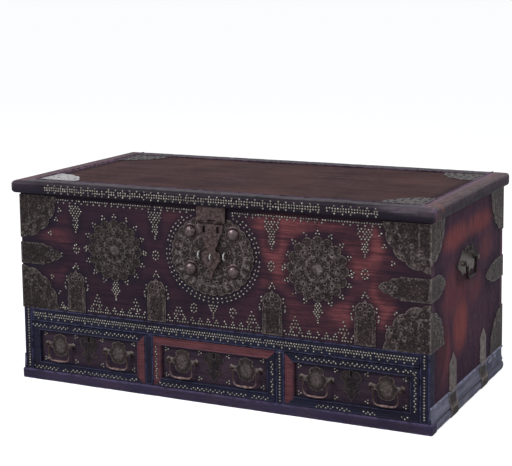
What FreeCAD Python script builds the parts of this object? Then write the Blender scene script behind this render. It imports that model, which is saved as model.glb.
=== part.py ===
import FreeCAD, Part
import math
import os
import re

import Sketcher

# A low dowry chest of dark hardwood boards. The upper part is one deep compartment under
# a hinged lid, with a small open till at its left end. Three full-depth drawers fill the
# bottom. Sheet brass plates, domed bosses and rows of nails cover the front and sides.
# The origin is on the floor, under the middle of the chest's overall width and depth.
# X runs to the right seen from the front, Y to the back, Z up.

# Driving sizes in millimetres
SIZES = {
    # boards of the case
    "case_width": 1240,
    "case_depth": 646,
    "case_height": 550,
    "front_thick": 22,
    "side_thick": 22,
    "back_thick": 20,
    "floor_thick": 18,
    "base_thick": 15,
    "frame_depth": 35,
    "mid_rail_top": 212,
    "mid_rail_height": 40,
    "stile_width": 28,
    "partition_thick": 26,
    # mouldings round the foot of the case
    "base_rail_height": 29,
    "base_rail_reach": 5,
    "base_rail_overhang": 8.3,
    "base_rail_round": 4,
    "plinth_foot_reach": 5,
    "plinth_torus_height": 24,
    "plinth_torus_radius": 24,
    "plinth_groove_reach": 3,
    "plinth_cove_reach": 6,
    "plinth_cove_radius": 60,
    "plinth_neck_reach": 1.5,
    "plinth_bead_reach": 4,
    "plinth_bead_height": 6,
    "plinth_height": 72,
    # open till inside the left end
    "till_width": 148,
    "till_thick": 12,
    "till_drop": 12,
    "till_height": 110,
    # lid
    "lid_gap": 0.3,
    "lid_height": 35,
    "lid_lip_reach": 13.5,
    "lid_band_reach": 18.4,
    "lid_band_low": 10,
    "lid_band_high": 26,
    "lid_under_radius": 12,
    "lid_top_reach": 10,
    "lid_round_radius": 10,
    "lid_strip": 35,
    "lid_back_strip_width": 45,
    "lid_field_drop": 4,
    "cut_overrun": 5,
    # hinges of the lid
    "hinge_spread": 800,
    "hinge_width": 60,
    "hinge_radius": 5.5,
    "hinge_gap": 5.9,
    "hinge_leaf_thick": 2.5,
    "hinge_clear": 6.5,
    "case_leaf_height": 66,
    "lid_leaf_height": 26,
    "hinge_pin_radius": 2.5,
    "knuckle_gap": 0.4,
    "pin_clearance": 0.05,
    # lock plate, its bosses and its two staples
    "brass_shift": 5,
    "brass_thick": 2,
    "lock_drop": 135,
    "lock_plate_radius": 114,
    "lock_plate_thick": 2.5,
    "lock_lobe_radius": 12,
    "lock_hole_ring": 96,
    "lock_hole_radius": 4,
    "boss_side": 65,
    "boss_up": 62,
    "boss_down": 41,
    "boss_radius": 16,
    "boss_height": 13,
    "boss_rim_radius": 21,
    "boss_rim_thick": 1.5,
    "staple_side": 38.5,
    "staple_radius": 10,
    "staple_rod": 2.5,
    "box_lock_width": 110,
    "box_lock_height": 90,
    "box_lock_depth": 18,
    "box_lock_drop": 10,
    # hasp and the leaf that hangs it from the lid
    "hasp_width": 87,
    "hasp_thick": 2.5,
    "hasp_standoff": 7,
    "hasp_axis_drop": 43,
    "hasp_barrel_radius": 4.5,
    "hasp_pin_radius": 2,
    "hasp_clear": 5.5,
    "hasp_length": 155,
    "hasp_body_width": 74,
    "hasp_slot_width": 8,
    "hasp_slot_height": 18,
    "hasp_slot_side": 21,
    "hasp_slot_drop": 6,
    "hasp_tab_gap": 0.8,
    "hasp_eye_drop": 95,
    "hasp_eye_radius": 7.5,
    "hasp_eye_rod": 2,
    # rosettes and arched plates on the front board
    "rosette_drop": 146,
    "rosette_radius": 70,
    "rosette_lobe_radius": 14.5,
    "rosette_hole_ring": 46,
    "rosette_hole_radius": 4,
    "arch_lock_gap": 4.6,
    "arch_corner_gap": 20,
    "arch_width": 58,
    "arch_height": 122,
    "arch_lift": 3,
    "arch_hole_radius": 4,
    "arch_hole_side": 11,
    "arch_hole_drop": 24,
    # brass on the corners
    "corner_front_radius": 126,
    "corner_side_radius": 106,
    "corner_drop": 6,
    "corner_scallop": 8,
    "corner_hole_radius": 4,
    "corner_hole_ring": 74,
    "strap_front_length": 140,
    "strap_side_length": 115,
    "strap_height": 62,
    "strap_tip": 34,
    "strap_lower": 4,
    "back_corner_radius": 124,
    "back_strap_length": 172,
    "back_strap_higher": 4,
    "back_return": 60,
    "foot_strap_width": 60,
    "foot_strap_front_gap": 46,
    "foot_strap_rear_gap": 37,
    "foot_strap_rise": 100,
    "foot_strap_tip": 30,
    # lifting handles on the sides
    "handle_forward": 20,
    "handle_below_top": 155,
    "handle_plate_length": 210,
    "handle_plate_height": 80,
    "handle_span": 102,
    "handle_leg_in": 13,
    "handle_drop": 44,
    "handle_rod": 4,
    "handle_neck_radius": 5,
    "handle_bend_radius": 16,
    "handle_post_radius": 7,
    "handle_pivot_out": 10.5,
    "handle_post_cap": 5,
    "handle_pin_over": 5,
    # drawers
    "drawer_rest": 0.3,
    "drawer_gap": 1.5,
    "drawer_recess": 8,
    "drawer_front_thick": 18,
    "drawer_moulding_width": 25,
    "drawer_moulding_thick": 9.5,
    "drawer_back_gap": 38,
    "drawer_side_thick": 10,
    "drawer_side_drop": 29.2,
    "drawer_bottom_thick": 7,
    "drawer_bottom_lift": 6,
    "drawer_lock_width": 60,
    "drawer_lock_height": 34,
    "drawer_lock_depth": 12,
    "drawer_lock_drop": 14,
    # pulls and keyhole plates of the drawers
    "pull_rise": 75.7,
    "pull_outer_gap": 13,
    "pull_inner_gap": 16,
    "pull_plate_height": 66,
    "pull_plate_drop": 3,
    "pull_plate_thick": 1.5,
    "pull_post_in": 8,
    "pull_leg_in": 10,
    "pull_drop": 43,
    "pull_rod": 2.5,
    "pull_neck_radius": 4,
    "pull_bend_radius": 12,
    "pull_post_radius": 5.5,
    "pull_pivot_out": 9.5,
    "pull_post_cap": 3.5,
    "pull_pin_over": 4.5,
    "keyhole_plate_width": 62,
    "keyhole_plate_height": 76,
    "keyhole_plate_rise": 4.1,
    "keyhole_radius": 4,
    "keyhole_up": 30,
    # domed nails
    "stud_radius": 3.4,
    "stud_height": 2,
    "stud_pitch": 25,
    "stud_small_pitch": 9,
    "lock_stud_ring": 140,
    "rosette_stud_ring": 98,
    "stud_row_drop": 20,
    "stud_row_lift": 9,
    "stud_row_clear": 16,
    "pendant_drop": 31,
    "nail_clear": 0.5,
}

# Places and sizes that follow from the driving ones
PLACES = {
    "lid_reach": "lid_band_reach + stud_height",
    "hinge_reach": "hinge_gap + hinge_radius",
    "front": "(lid_reach - case_depth - hinge_reach) / 2",
    "back": "front + case_depth",
    "half_width": "case_width / 2",
    "inner_half": "half_width - side_thick",
    "stile_inner": "half_width - stile_width",
    "opening_low": "base_rail_height",
    "opening_high": "mid_rail_top - mid_rail_height",
    "floor_top": "opening_high + floor_thick",
    "drawer_opening": "(case_width - 2 * stile_width - 2 * partition_thick) / 3",
    "drawer_pitch": "drawer_opening + partition_thick",
    "drawer_half": "drawer_opening / 2 - drawer_gap",
    "drawer_low": "opening_low + drawer_rest",
    "drawer_high": "opening_high - drawer_gap",
    "drawer_face": "front + drawer_recess",
    "drawer_front_back": "drawer_face + drawer_front_thick",
    "drawer_end": "back - back_thick - drawer_back_gap",
    "drawer_side_height": "drawer_high - drawer_low - drawer_side_drop",
    "pull_plate_width": "drawer_half - drawer_moulding_width - pull_outer_gap - pull_inner_gap"
                        " - keyhole_plate_width / 2",
    "pull_side": "drawer_half - drawer_moulding_width - pull_outer_gap - pull_plate_width / 2",
    "pull_span": "pull_plate_width - 2 * pull_post_in",
    "pull_leg_span": "pull_span - 2 * pull_leg_in",
    "pull_level": "drawer_low + pull_rise",
    "keyhole_plate_level": "(drawer_low + drawer_high) / 2 + keyhole_plate_rise",
    "lock_height": "case_height - lock_drop",
    "arch_inner_side": "lock_stud_ring + stud_radius + arch_lock_gap + arch_width / 2",
    "arch_outer_side": "half_width - corner_front_radius - arch_corner_gap - arch_width / 2 - brass_shift",
    "rosette_side": "(arch_inner_side + arch_outer_side) / 2",
    "rosette_height": "case_height - rosette_drop",
    "strap_level": "(case_height - corner_drop + mid_rail_top) / 2 - strap_lower",
    "back_strap_level": "(case_height - corner_drop + plinth_height) / 2 + back_strap_higher",
    "foot_strap_front": "front + corner_side_radius + foot_strap_front_gap + foot_strap_width / 2",
    "foot_strap_rear": "back - back_corner_radius - foot_strap_rear_gap - foot_strap_width / 2",
    "handle_middle": "front + case_depth / 2 - handle_forward",
    "handle_level": "case_height - handle_below_top",
    "handle_leg_span": "handle_span - 2 * handle_leg_in",
    "lid_bottom": "case_height + lid_gap",
    "lid_top": "lid_bottom + lid_height",
    "lid_field": "lid_top - lid_field_drop",
    "lid_half": "half_width + lid_band_reach",
    "lid_inner": "half_width - lid_strip",
    "hinge_axis_y": "back + hinge_gap",
    "hasp_axis_y": "front - hasp_standoff - hasp_thick / 2",
    "hasp_axis_z": "lid_bottom - hasp_axis_drop",
}

# Outlines, as shares of a half width and of a half height or a length
PULL_PLATE_SHARES = [(0, -1), (0.34, -0.94), (0.44, -0.55), (0.62, -0.3), (0.96, -0.22), (1, 0.3),
                     (0.8, 0.34), (0.6, 0.2), (0.52, 0.55), (0.3, 0.84), (0, 1)]
KEYHOLE_PLATE_SHARES = [(0, -1), (0.24, -0.8), (0.5, -0.62), (0.46, -0.3), (0.9, 0.06), (1, 0.55),
                        (0.7, 0.94), (0.3, 0.86), (0, 1)]
HANDLE_PLATE_SHARES = [(0, -1), (0.3, -0.72), (0.42, -0.9), (0.62, -0.42), (1, 0), (0.62, 0.42),
                       (0.42, 0.9), (0.3, 0.72), (0, 1)]
STRAP_HEAD_SHARES = [(0, 1), (0.55, 1), (0.6, 0.84), (0.72, 0.8), (0.79, 0.52), (0.9, 0.42), (1, 0)]
HASP_SHARES = [(0, -1), (0.14, -0.91), (0.24, -0.84), (0.42, -0.78), (0.58, -0.71), (0.78, -0.65),
               (0.75, -0.56), (0.6, -0.51), (0.36, -0.49), (0.34, -0.45), (0.52, -0.38), (0.62, -0.3),
               (0.78, -0.19), (0.95, -0.13), (1, 0)]

# Cosine and sine, as shares of a ring's radius, of the three holes in a quarter plate
QUARTER_HOLE_SHARES = [(0.94, 0.34), (0.71, 0.71), (0.34, 0.94)]

# The three nails of a group, out from its middle and across, as shares of the close pitch
NAIL_GROUP_SHARES = [(0.6, 0), (-0.4, 0.5), (-0.4, -0.5)]

ROSETTE_LOBES = 16
LOCK_LOBES = 24
CORNER_LOBES = 4
PIERCINGS = 12
LOCK_STUDS = 44
PENDANT_ROWS = 5
SIDES = (-1, 1)

doc = FreeCAD.newDocument("dowry_chest")

sheet = doc.addObject("Spreadsheet::Sheet", "Sizes")
for row, (alias, size) in enumerate(SIZES.items(), start=1):
    sheet.set(f"A{row}", alias)
    sheet.set(f"B{row}", str(size))
    sheet.setAlias(f"B{row}", alias)
doc.recompute()

places = doc.addObject("App::VarSet", "Places")


def bound(text):
    """The expression with each size read from the sheet and each place from the places."""
    def owner(match):
        word = match.group(0)
        if word in SIZES:
            return "Sizes." + word
        if word in PLACES:
            return "Places." + word
        return word
    return re.sub(r"[a-z][a-z_]*", owner, str(text))


for place_name, place_text in PLACES.items():
    places.addProperty("App::PropertyFloat", place_name)
for place_name, place_text in PLACES.items():
    places.setExpression(place_name, bound(place_text))
doc.recompute()


def number(text):
    """The value that an expression has now."""
    return float(sheet.evalExpression(bound(text)))


def vector(x, y, z=0.0):
    return FreeCAD.Vector(x, y, z)


def at(thing, x="0", y="0", z="0"):
    """Put an object's own origin at a place."""
    for axis, text in (("x", x), ("y", y), ("z", z)):
        thing.setExpression("Placement.Base." + axis, bound(text))
    return thing


def board(name, x, y, z):
    """A straight board between two places along each axis."""
    box = doc.addObject("Part::Box", name)
    for edge, span in (("Length", x), ("Width", y), ("Height", z)):
        box.setExpression(edge, bound(f"({span[1]}) - ({span[0]})"))
    return at(box, x[0], y[0], z[0])


def rod(name, axis, start, length, radius):
    """A round bar from a start point along one axis."""
    bar = doc.addObject("Part::Cylinder", name)
    turns = {"x": (vector(0, 1), 90), "y": (vector(1, 0), -90), "z": (vector(1, 0), 0)}
    bar.Placement = FreeCAD.Placement(vector(0, 0), FreeCAD.Rotation(*turns[axis]))
    bar.setExpression("Radius", bound(radius))
    bar.setExpression("Height", bound(length))
    return at(bar, *start)


def group(name, pieces):
    """Separate solids under one name."""
    bundle = doc.addObject("Part::Compound", name)
    bundle.Links = pieces
    return bundle


def joined(name, pieces):
    union = doc.addObject("Part::MultiFuse", name)
    union.Shapes = pieces
    return union


def cut(name, base, tool):
    rest = doc.addObject("Part::Cut", name)
    rest.Base = base
    rest.Tool = tool
    return rest


def common(name, first, second):
    shared = doc.addObject("Part::Common", name)
    shared.Base = first
    shared.Tool = second
    return shared


def mirrored(name, source):
    """The same piece on the other side of the chest's middle."""
    image = doc.addObject("Part::Mirroring", name)
    image.Source = source
    image.Normal = vector(1, 0)
    image.Base = vector(0, 0)
    return image


def origin_plane(body, role):
    return next(plane for plane in body.Origin.OriginFeatures if plane.Role == role)


def new_sketch(body, name, role, offset="0"):
    """A sketch on one of a body's own planes, moved along the plane's normal."""
    sketch = body.newObject("Sketcher::SketchObject", name)
    sketch.AttachmentSupport = (origin_plane(body, role), [""])
    sketch.MapMode = "FlatFace"
    sketch.setExpression("AttachmentOffset.Base.z", bound(offset))
    return sketch


def bind_constraint(sketch, constraint, name, text):
    index = sketch.addConstraint(constraint)
    sketch.renameConstraint(index, name)
    sketch.setExpression("Constraints." + name, bound(text))


def bind_point(sketch, name, edge, end, x, y):
    """Tie one end of an edge to its two coordinates."""
    across = Sketcher.Constraint("DistanceX", -1, 1, edge, end, number(x))
    bind_constraint(sketch, across, name + "x", x)
    up = Sketcher.Constraint("DistanceY", -1, 1, edge, end, number(y))
    bind_constraint(sketch, up, name + "y", y)


def arc_edge(start, end, radius, turn):
    """A short arc between two points, with its centre to the left (turn 1) or right (turn -1)."""
    along = end - start
    half = along.Length / 2
    rise = math.sqrt(max(radius * radius - half * half, 0.0))
    normal = vector(-along.y, along.x).normalize() * turn
    centre = (start + end) * 0.5 + normal * rise
    first, last = (start, end) if turn > 0 else (end, start)
    low = math.atan2(first.y - centre.y, first.x - centre.x)
    high = math.atan2(last.y - centre.y, last.x - centre.x)
    if high <= low:
        high += 2 * math.pi
    return Part.ArcOfCircle(Part.Circle(centre, vector(0, 0, 1), radius), low, high)


def draw(sketch, tag, corners, closed=True):
    """Draw edges from corner to corner, each bound to its places.

    A corner is (x, y), or (x, y, radius) where the edge that ends there is an arc that bulges
    outward on an outline drawn counter-clockwise, or (x, y, radius, -1) where it bulges inward.
    """
    points = [vector(number(corner[0]), number(corner[1])) for corner in corners]
    edges = []
    count = len(corners)
    for index in range(0 if closed else 1, count):
        corner = corners[index]
        start, end = points[index - 1], points[index]
        if len(corner) == 2:
            edge = sketch.addGeometry(Part.LineSegment(start, end))
            edges.append((edge, 1, 2))
            continue
        turn = corner[3] if len(corner) == 4 else 1
        edge = sketch.addGeometry(arc_edge(start, end, number(corner[2]), turn))
        edges.append((edge, 1, 2) if turn > 0 else (edge, 2, 1))
        arc = Sketcher.Constraint("Radius", edge, number(corner[2]))
        bind_constraint(sketch, arc, f"{tag}r{index}", corner[2])
    for first, second in zip(edges, edges[1:] + edges[:1] if closed else edges[1:]):
        sketch.addConstraint(Sketcher.Constraint("Coincident", first[0], first[2], second[0], second[1]))
    if not closed:
        bind_point(sketch, f"{tag}p0", edges[0][0], edges[0][1], *corners[0][:2])
    ends = corners if closed else corners[1:]
    for index, (edge, corner) in enumerate(zip(edges, ends), start=1):
        bind_point(sketch, f"{tag}p{index}", edge[0], edge[2], corner[0], corner[1])


def draw_circle(sketch, tag, x, y, radius):
    centre = vector(number(x), number(y))
    ring = sketch.addGeometry(Part.Circle(centre, vector(0, 0, 1), number(radius)))
    bind_point(sketch, tag + "c", ring, 3, x, y)
    bind_constraint(sketch, Sketcher.Constraint("Radius", ring, number(radius)), tag + "r", radius)


def padded(name, role, corners, thick, offset="0", circles=(), slots=()):
    """A body padded from an outline on one of its planes, pierced by circles and slots."""
    body = doc.addObject("PartDesign::Body", name)
    sketch = new_sketch(body, name + "_outline", role, offset)
    draw(sketch, "a", corners)
    for index, circle in enumerate(circles):
        draw_circle(sketch, f"b{index}", *circle)
    for index, slot in enumerate(slots):
        draw(sketch, f"d{index}", slot)
    pad = body.newObject("PartDesign::Pad", name + "_pad")
    pad.Profile = sketch
    pad.setExpression("Length", bound(thick))
    sketch.Visibility = False
    return body


def by_shares(shares, half_width, height):
    """A closed outline, counter-clockwise, from the right half's shares and their mirror image."""
    right = [(f"{x} * {half_width}", f"{y} * {height}") for x, y in shares]
    left = [(f"-{x} * {half_width}", f"{y} * {height}") for x, y in reversed(shares) if x > 0]
    return right + left


def turned(angle, radius):
    """The two coordinates of a point on a circle about zero."""
    return f"{round(math.cos(angle), 9)} * {radius}", f"{round(math.sin(angle), 9)} * {radius}"


def quarter(across, up, radius):
    """A quarter disc with a scalloped rim and its corner at zero, in the quadrant of two signs."""
    ring = f"({radius} - corner_scallop)"
    half_step = math.pi / 4 / CORNER_LOBES
    middle, half_chord = turned(half_step, ring)
    rise = f"({radius} - {middle})"
    lobe = f"(({half_chord} * {half_chord} + {rise} * {rise}) / (2 * {rise}))"
    rim = []
    for step in range(CORNER_LOBES + 1):
        x, y = turned(2 * half_step * step, ring)
        rim.append((f"{across} * {x}", f"{up} * {y}"))
    if across * up < 0:
        rim.reverse()
    return [("0", "0"), rim[0]] + [(*point, lobe) for point in rim[1:]]


def pointed(across, length, height):
    """A strap with a stepped, pointed end, from zero to one side."""
    upper = [(f"{across} * {x} * {length}", f"{y} * {height} / 2") for x, y in STRAP_HEAD_SHARES]
    lower = [(x, f"-{y}") for x, y in upper[:-1]]
    outline = lower + upper[::-1]
    return outline if across > 0 else outline[::-1]


def pierced_disc(name, radius, thick, lobes, lobe_radius, hole_ring, hole_radius):
    """A round plate with a scalloped rim and a ring of holes; its back is at its own origin."""
    body = doc.addObject("PartDesign::Body", name)
    disc_sketch = new_sketch(body, name + "_disc_outline", "XZ_Plane")
    draw_circle(disc_sketch, "a", "0", "0", radius)
    disc = body.newObject("PartDesign::Pad", name + "_disc")
    disc.Profile = disc_sketch
    disc.setExpression("Length", bound(thick))
    lobe_sketch = new_sketch(body, name + "_lobe_outline", "XZ_Plane")
    draw_circle(lobe_sketch, "a", *turned(math.pi / lobes, radius), lobe_radius)
    lobe = body.newObject("PartDesign::Pad", name + "_lobe")
    lobe.Profile = lobe_sketch
    lobe.setExpression("Length", bound(thick))
    rim = body.newObject("PartDesign::PolarPattern", name + "_rim")
    rim.Originals = [lobe]
    rim.Axis = (lobe_sketch, ["N_Axis"])
    rim.Angle = 360
    rim.Occurrences = lobes
    body.Tip = rim
    doc.recompute()
    hole_sketch = new_sketch(body, name + "_hole_outline", "XZ_Plane")
    draw_circle(hole_sketch, "a", hole_ring, "0", hole_radius)
    hole = body.newObject("PartDesign::Pocket", name + "_hole")
    hole.Profile = hole_sketch
    hole.Type = "ThroughAll"
    hole.Reversed = True
    holes = body.newObject("PartDesign::PolarPattern", name + "_holes")
    holes.Originals = [hole]
    holes.Axis = (hole_sketch, ["N_Axis"])
    holes.Angle = 360
    holes.Occurrences = PIERCINGS
    body.Tip = holes
    doc.recompute()
    if holes.Shape.Volume >= rim.Shape.Volume:
        raise RuntimeError(name + ": its holes cut nothing")
    return body


def half_ring(name, radius, rod_radius):
    """A round bar bent to a half ring that stands out towards the front, in an upright plane."""
    body = doc.addObject("PartDesign::Body", name)
    sketch = new_sketch(body, name + "_section", "XZ_Plane")
    draw_circle(sketch, "a", "0", radius, rod_radius)
    ring = body.newObject("PartDesign::Revolution", name + "_ring")
    ring.Profile = sketch
    ring.ReferenceAxis = (sketch, ["H_Axis"])
    ring.Angle = 180
    doc.recompute()
    if ring.Shape.BoundBox.YMax > number(radius) / 2:
        ring.Reversed = True
    return body


def bail(name, path_role, ring_role, ring_side, size):
    """A round bar bent to a hanging loop, with its two pins on the axis through its origin.

    size gives the names of the span between posts, the span between legs, the drop, the bar's
    radius, the two bend radii and how far each pin runs past the middle of its post.
    """
    span, legs, drop, bar, neck, bend, over = size
    pin = f"({span} / 2 + {over})"
    leg = f"({legs} / 2)"
    body = doc.addObject("PartDesign::Body", name)
    path = new_sketch(body, name + "_path", path_role)
    draw(path, "a", [
        (pin, "0"),
        (f"{leg} + {neck}", "0"),
        (leg, f"-{neck}", neck),
        (leg, f"{bend} - {drop}"),
        (f"{leg} - {bend}", f"-{drop}", bend, -1),
        (f"{bend} - {leg}", f"-{drop}"),
        (f"-{leg}", f"{bend} - {drop}", bend, -1),
        (f"-{leg}", f"-{neck}"),
        (f"-{leg} - {neck}", "0", neck),
        (f"-{pin}", "0"),
    ], closed=False)
    ring = new_sketch(body, name + "_section", ring_role, f"{ring_side} * {pin}")
    draw_circle(ring, "a", "0", "0", bar)
    doc.recompute()
    pipe = body.newObject("PartDesign::AdditivePipe", name + "_bar")
    pipe.Profile = ring
    pipe.Spine = path
    return body


def post(name, axis, out, radius, out_length, bore_radius, pin_axis):
    """A round post with a cross bore for a pin; out is (x, y, z) of its foot, axis (axis, sign)."""
    direction, sign = axis
    places_of = dict(zip("xyz", out))
    foot = dict(places_of)
    if sign < 0:
        foot[direction] = f"{places_of[direction]} - ({out_length[0]})"
    stem = rod(name + "_stem", direction, (foot["x"], foot["y"], foot["z"]), out_length[0], radius)
    bore = dict(places_of)
    bore[direction] = f"{places_of[direction]} + {sign} * ({out_length[1]})"
    bore[pin_axis] = f"{places_of[pin_axis]} - 2 * {radius}"
    drill = rod(name + "_bore", pin_axis, (bore["x"], bore["y"], bore["z"]), f"4 * {radius}", bore_radius)
    return cut(name, stem, drill)


def knuckled_leaf(name, middle, width, axis, plate, outer, barrel_radius, bore_radius):
    """A leaf of a hinge about X: its plate, the webs that reach the axis and its knuckles.

    axis is (y, z); plate is the body that carries them with its y span and its near edge in z.
    """
    leaf, y_span, near_edge = plate
    sixth = f"{width} / 6"
    play = "knuckle_gap / 2"
    if outer:
        spans = [(f"{middle} - {width} / 2", f"{middle} - {sixth} - {play}"),
                 (f"{middle} + {sixth} + {play}", f"{middle} + {width} / 2")]
    else:
        spans = [(f"{middle} - {sixth} + {play}", f"{middle} + {sixth} - {play}")]
    pieces = [leaf]
    above = number(near_edge) > number(axis[1])
    z_span = (axis[1], near_edge) if above else (near_edge, axis[1])
    for index, span in enumerate(spans):
        pieces.append(board(f"{name}_web_{index}", span, y_span, z_span))
        length = f"({span[1]}) - ({span[0]})"
        pieces.append(rod(f"{name}_knuckle_{index}", "x", (span[0], *axis), length, barrel_radius))
    bore_start = (f"{middle} - {width}", *axis)
    bore = rod(name + "_bore", "x", bore_start, f"2 * {width}", bore_radius)
    return cut(name, joined(name + "_solid", pieces), bore)


def case_boards():
    """The boards of the box, the frame round the drawers and the till."""
    inside = ("-inner_half", "inner_half")
    behind_frame = "front + frame_depth"
    behind_front = "front + front_thick"
    front_of_back = "back - back_thick"
    pieces = {
        "front_board": board("front_board", ("-half_width", "half_width"), ("front", behind_front),
                             ("mid_rail_top", "case_height")),
        "back_board": board("back_board", ("-half_width", "half_width"), (front_of_back, "back"),
                            ("0", "case_height")),
        "compartment_floor": board("compartment_floor", inside, (behind_frame, front_of_back),
                                   ("opening_high", "floor_top")),
        "base_board": board("base_board", inside, (behind_frame, front_of_back),
                            ("opening_low - base_thick", "opening_low")),
        "mid_rail": board("mid_rail", ("-stile_inner", "stile_inner"), ("front", behind_frame),
                          ("opening_high", "mid_rail_top")),
    }
    side = [
        (behind_frame, "0"), (front_of_back, "0"), (front_of_back, "case_height"),
        (behind_front, "case_height"), (behind_front, "mid_rail_top"), (behind_frame, "mid_rail_top"),
    ]
    right = padded("right_side_board", "YZ_Plane", side, "side_thick", "inner_half")
    pieces["right_side_board"] = right
    pieces["left_side_board"] = mirrored("left_side_board", right)
    stile = board("right_stile", ("stile_inner", "half_width"), ("front", behind_frame),
                  ("base_rail_height", "mid_rail_top"))
    pieces["front_stiles"] = group("front_stiles", [stile, mirrored("left_stile", stile)])
    partition = board("right_partition", ("drawer_opening / 2", "drawer_opening / 2 + partition_thick"),
                      ("front", front_of_back), ("opening_low", "opening_high"))
    pieces["drawer_partitions"] = group("drawer_partitions",
                                        [partition, mirrored("left_partition", partition)])
    till_right = "till_width - inner_half"
    till_low = "case_height - till_drop - till_height"
    wall = board("till_wall", (f"{till_right} - till_thick", till_right), (behind_front, front_of_back),
                 (till_low, "case_height - till_drop"))
    bottom = board("till_bottom", ("-inner_half", f"{till_right} - till_thick"),
                   (behind_front, front_of_back), (till_low, f"{till_low} + till_thick"))
    pieces["till_boards"] = group("till_boards", [wall, bottom])
    return pieces


def foot_mouldings():
    """The rail under the drawers and the moulded plinth along each side."""
    end = "(half_width + base_rail_overhang)"
    face = "front - base_rail_reach"
    rail = [
        (f"{end} - base_rail_round", face),
        (end, f"{face} + base_rail_round", "base_rail_round"),
        (end, "front + frame_depth"),
        (f"-{end}", "front + frame_depth"),
        (f"-{end}", f"{face} + base_rail_round"),
        (f"base_rail_round - {end}", face, "base_rail_round"),
    ]
    profile = [
        ("half_width", "0"),
        ("half_width + plinth_foot_reach", "0"),
        ("half_width + plinth_foot_reach", "plinth_torus_height", "plinth_torus_radius"),
        ("half_width + plinth_groove_reach", "plinth_torus_height"),
        ("half_width + plinth_groove_reach", "base_rail_height"),
        ("half_width + plinth_cove_reach", "base_rail_height"),
        ("half_width + plinth_neck_reach", "plinth_height - plinth_bead_height", "plinth_cove_radius", -1),
        ("half_width + plinth_bead_reach", "plinth_height - plinth_bead_height"),
        ("half_width + plinth_bead_reach", "plinth_height"),
        ("half_width", "plinth_height"),
    ]
    length = padded("plinth_length", "XZ_Plane", profile, "case_depth", "-back")
    notch = board("plinth_notch", ("inner_half", f"{end} + cut_overrun"),
                  ("front - cut_overrun", "front + frame_depth"), ("-cut_overrun", "base_rail_height"))
    right = cut("right_plinth", length, notch)
    return {
        "base_rail": padded("base_rail", "XY_Plane", rail, "base_rail_height"),
        "side_plinths": group("side_plinths", [right, mirrored("left_plinth", right)]),
    }


def foot_straps():
    """Two brass straps on each side, pointed above and bent out over the plinth to the floor."""
    half = "foot_strap_width / 2"
    crest = "(plinth_height + foot_strap_rise)"
    straps = []
    for label, middle in (("front", "foot_strap_front"), ("rear", "foot_strap_rear")):
        upper = padded(f"{label}_strap_head", "YZ_Plane", [
            (f"{middle} - {half}", "plinth_height"),
            (f"{middle} + {half}", "plinth_height"),
            (f"{middle} + {half}", f"{crest} - foot_strap_tip"),
            (middle, crest),
            (f"{middle} - {half}", f"{crest} - foot_strap_tip"),
        ], "brass_thick", "half_width", circles=[(middle, f"{crest} - foot_strap_tip", "corner_hole_radius")])
        skin = [
            ("half_width", "0"),
            ("half_width + plinth_foot_reach + brass_thick", "0"),
            ("half_width + plinth_foot_reach + brass_thick", "plinth_torus_height + brass_thick",
             "plinth_torus_radius + brass_thick"),
            ("half_width + plinth_groove_reach + brass_thick", "plinth_torus_height + brass_thick"),
            ("half_width + plinth_groove_reach + brass_thick", "base_rail_height - brass_thick"),
            ("half_width + plinth_cove_reach + brass_thick", "base_rail_height - brass_thick"),
            ("half_width + plinth_neck_reach + brass_thick",
             "plinth_height - plinth_bead_height - brass_thick / 2", "plinth_cove_radius", -1),
            ("half_width + plinth_bead_reach + brass_thick",
             "plinth_height - plinth_bead_height - brass_thick / 2"),
            ("half_width + plinth_bead_reach + brass_thick", "plinth_height + brass_thick"),
            ("half_width", "plinth_height + brass_thick"),
        ]
        lower = padded(f"{label}_strap_skin", "XZ_Plane", skin, "foot_strap_width", f"-({middle} + {half})")
        straps.append(joined(f"{label}_strap_full", [upper, lower]))
    outer = group("right_straps_full", straps)
    profile = doc.getObject("right_plinth")
    right = cut("right_straps", outer, profile)
    return {"foot_straps": group("foot_straps", [right, mirrored("left_straps", right)])}


def corner_plate(name, corner, legs, thick="brass_thick"):
    """A brass plate bent round an upright edge of the case: one leg on X faces, one on Y faces."""
    x, y, z = corner
    y_leg, x_leg, holes_y, holes_x, at_back = legs
    flat_y = padded(name + "_y_leg", "XZ_Plane", y_leg, thick, circles=holes_y)
    at(flat_y, f"{x} + {thick}", f"{y} + {thick}" if at_back else y, z)
    flat_x = padded(name + "_x_leg", "YZ_Plane", x_leg, thick, circles=holes_x)
    at(flat_x, x, y, z)
    return joined(name, [flat_y, flat_x])


def ring_holes(across, up, ring, radius):
    """Three holes on an arc about a quarter plate's corner."""
    holes = []
    for share_x, share_z in QUARTER_HOLE_SHARES:
        holes.append((f"{across} * {share_x} * {ring}", f"{up} * {share_z} * {ring}", radius))
    return holes


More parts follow.
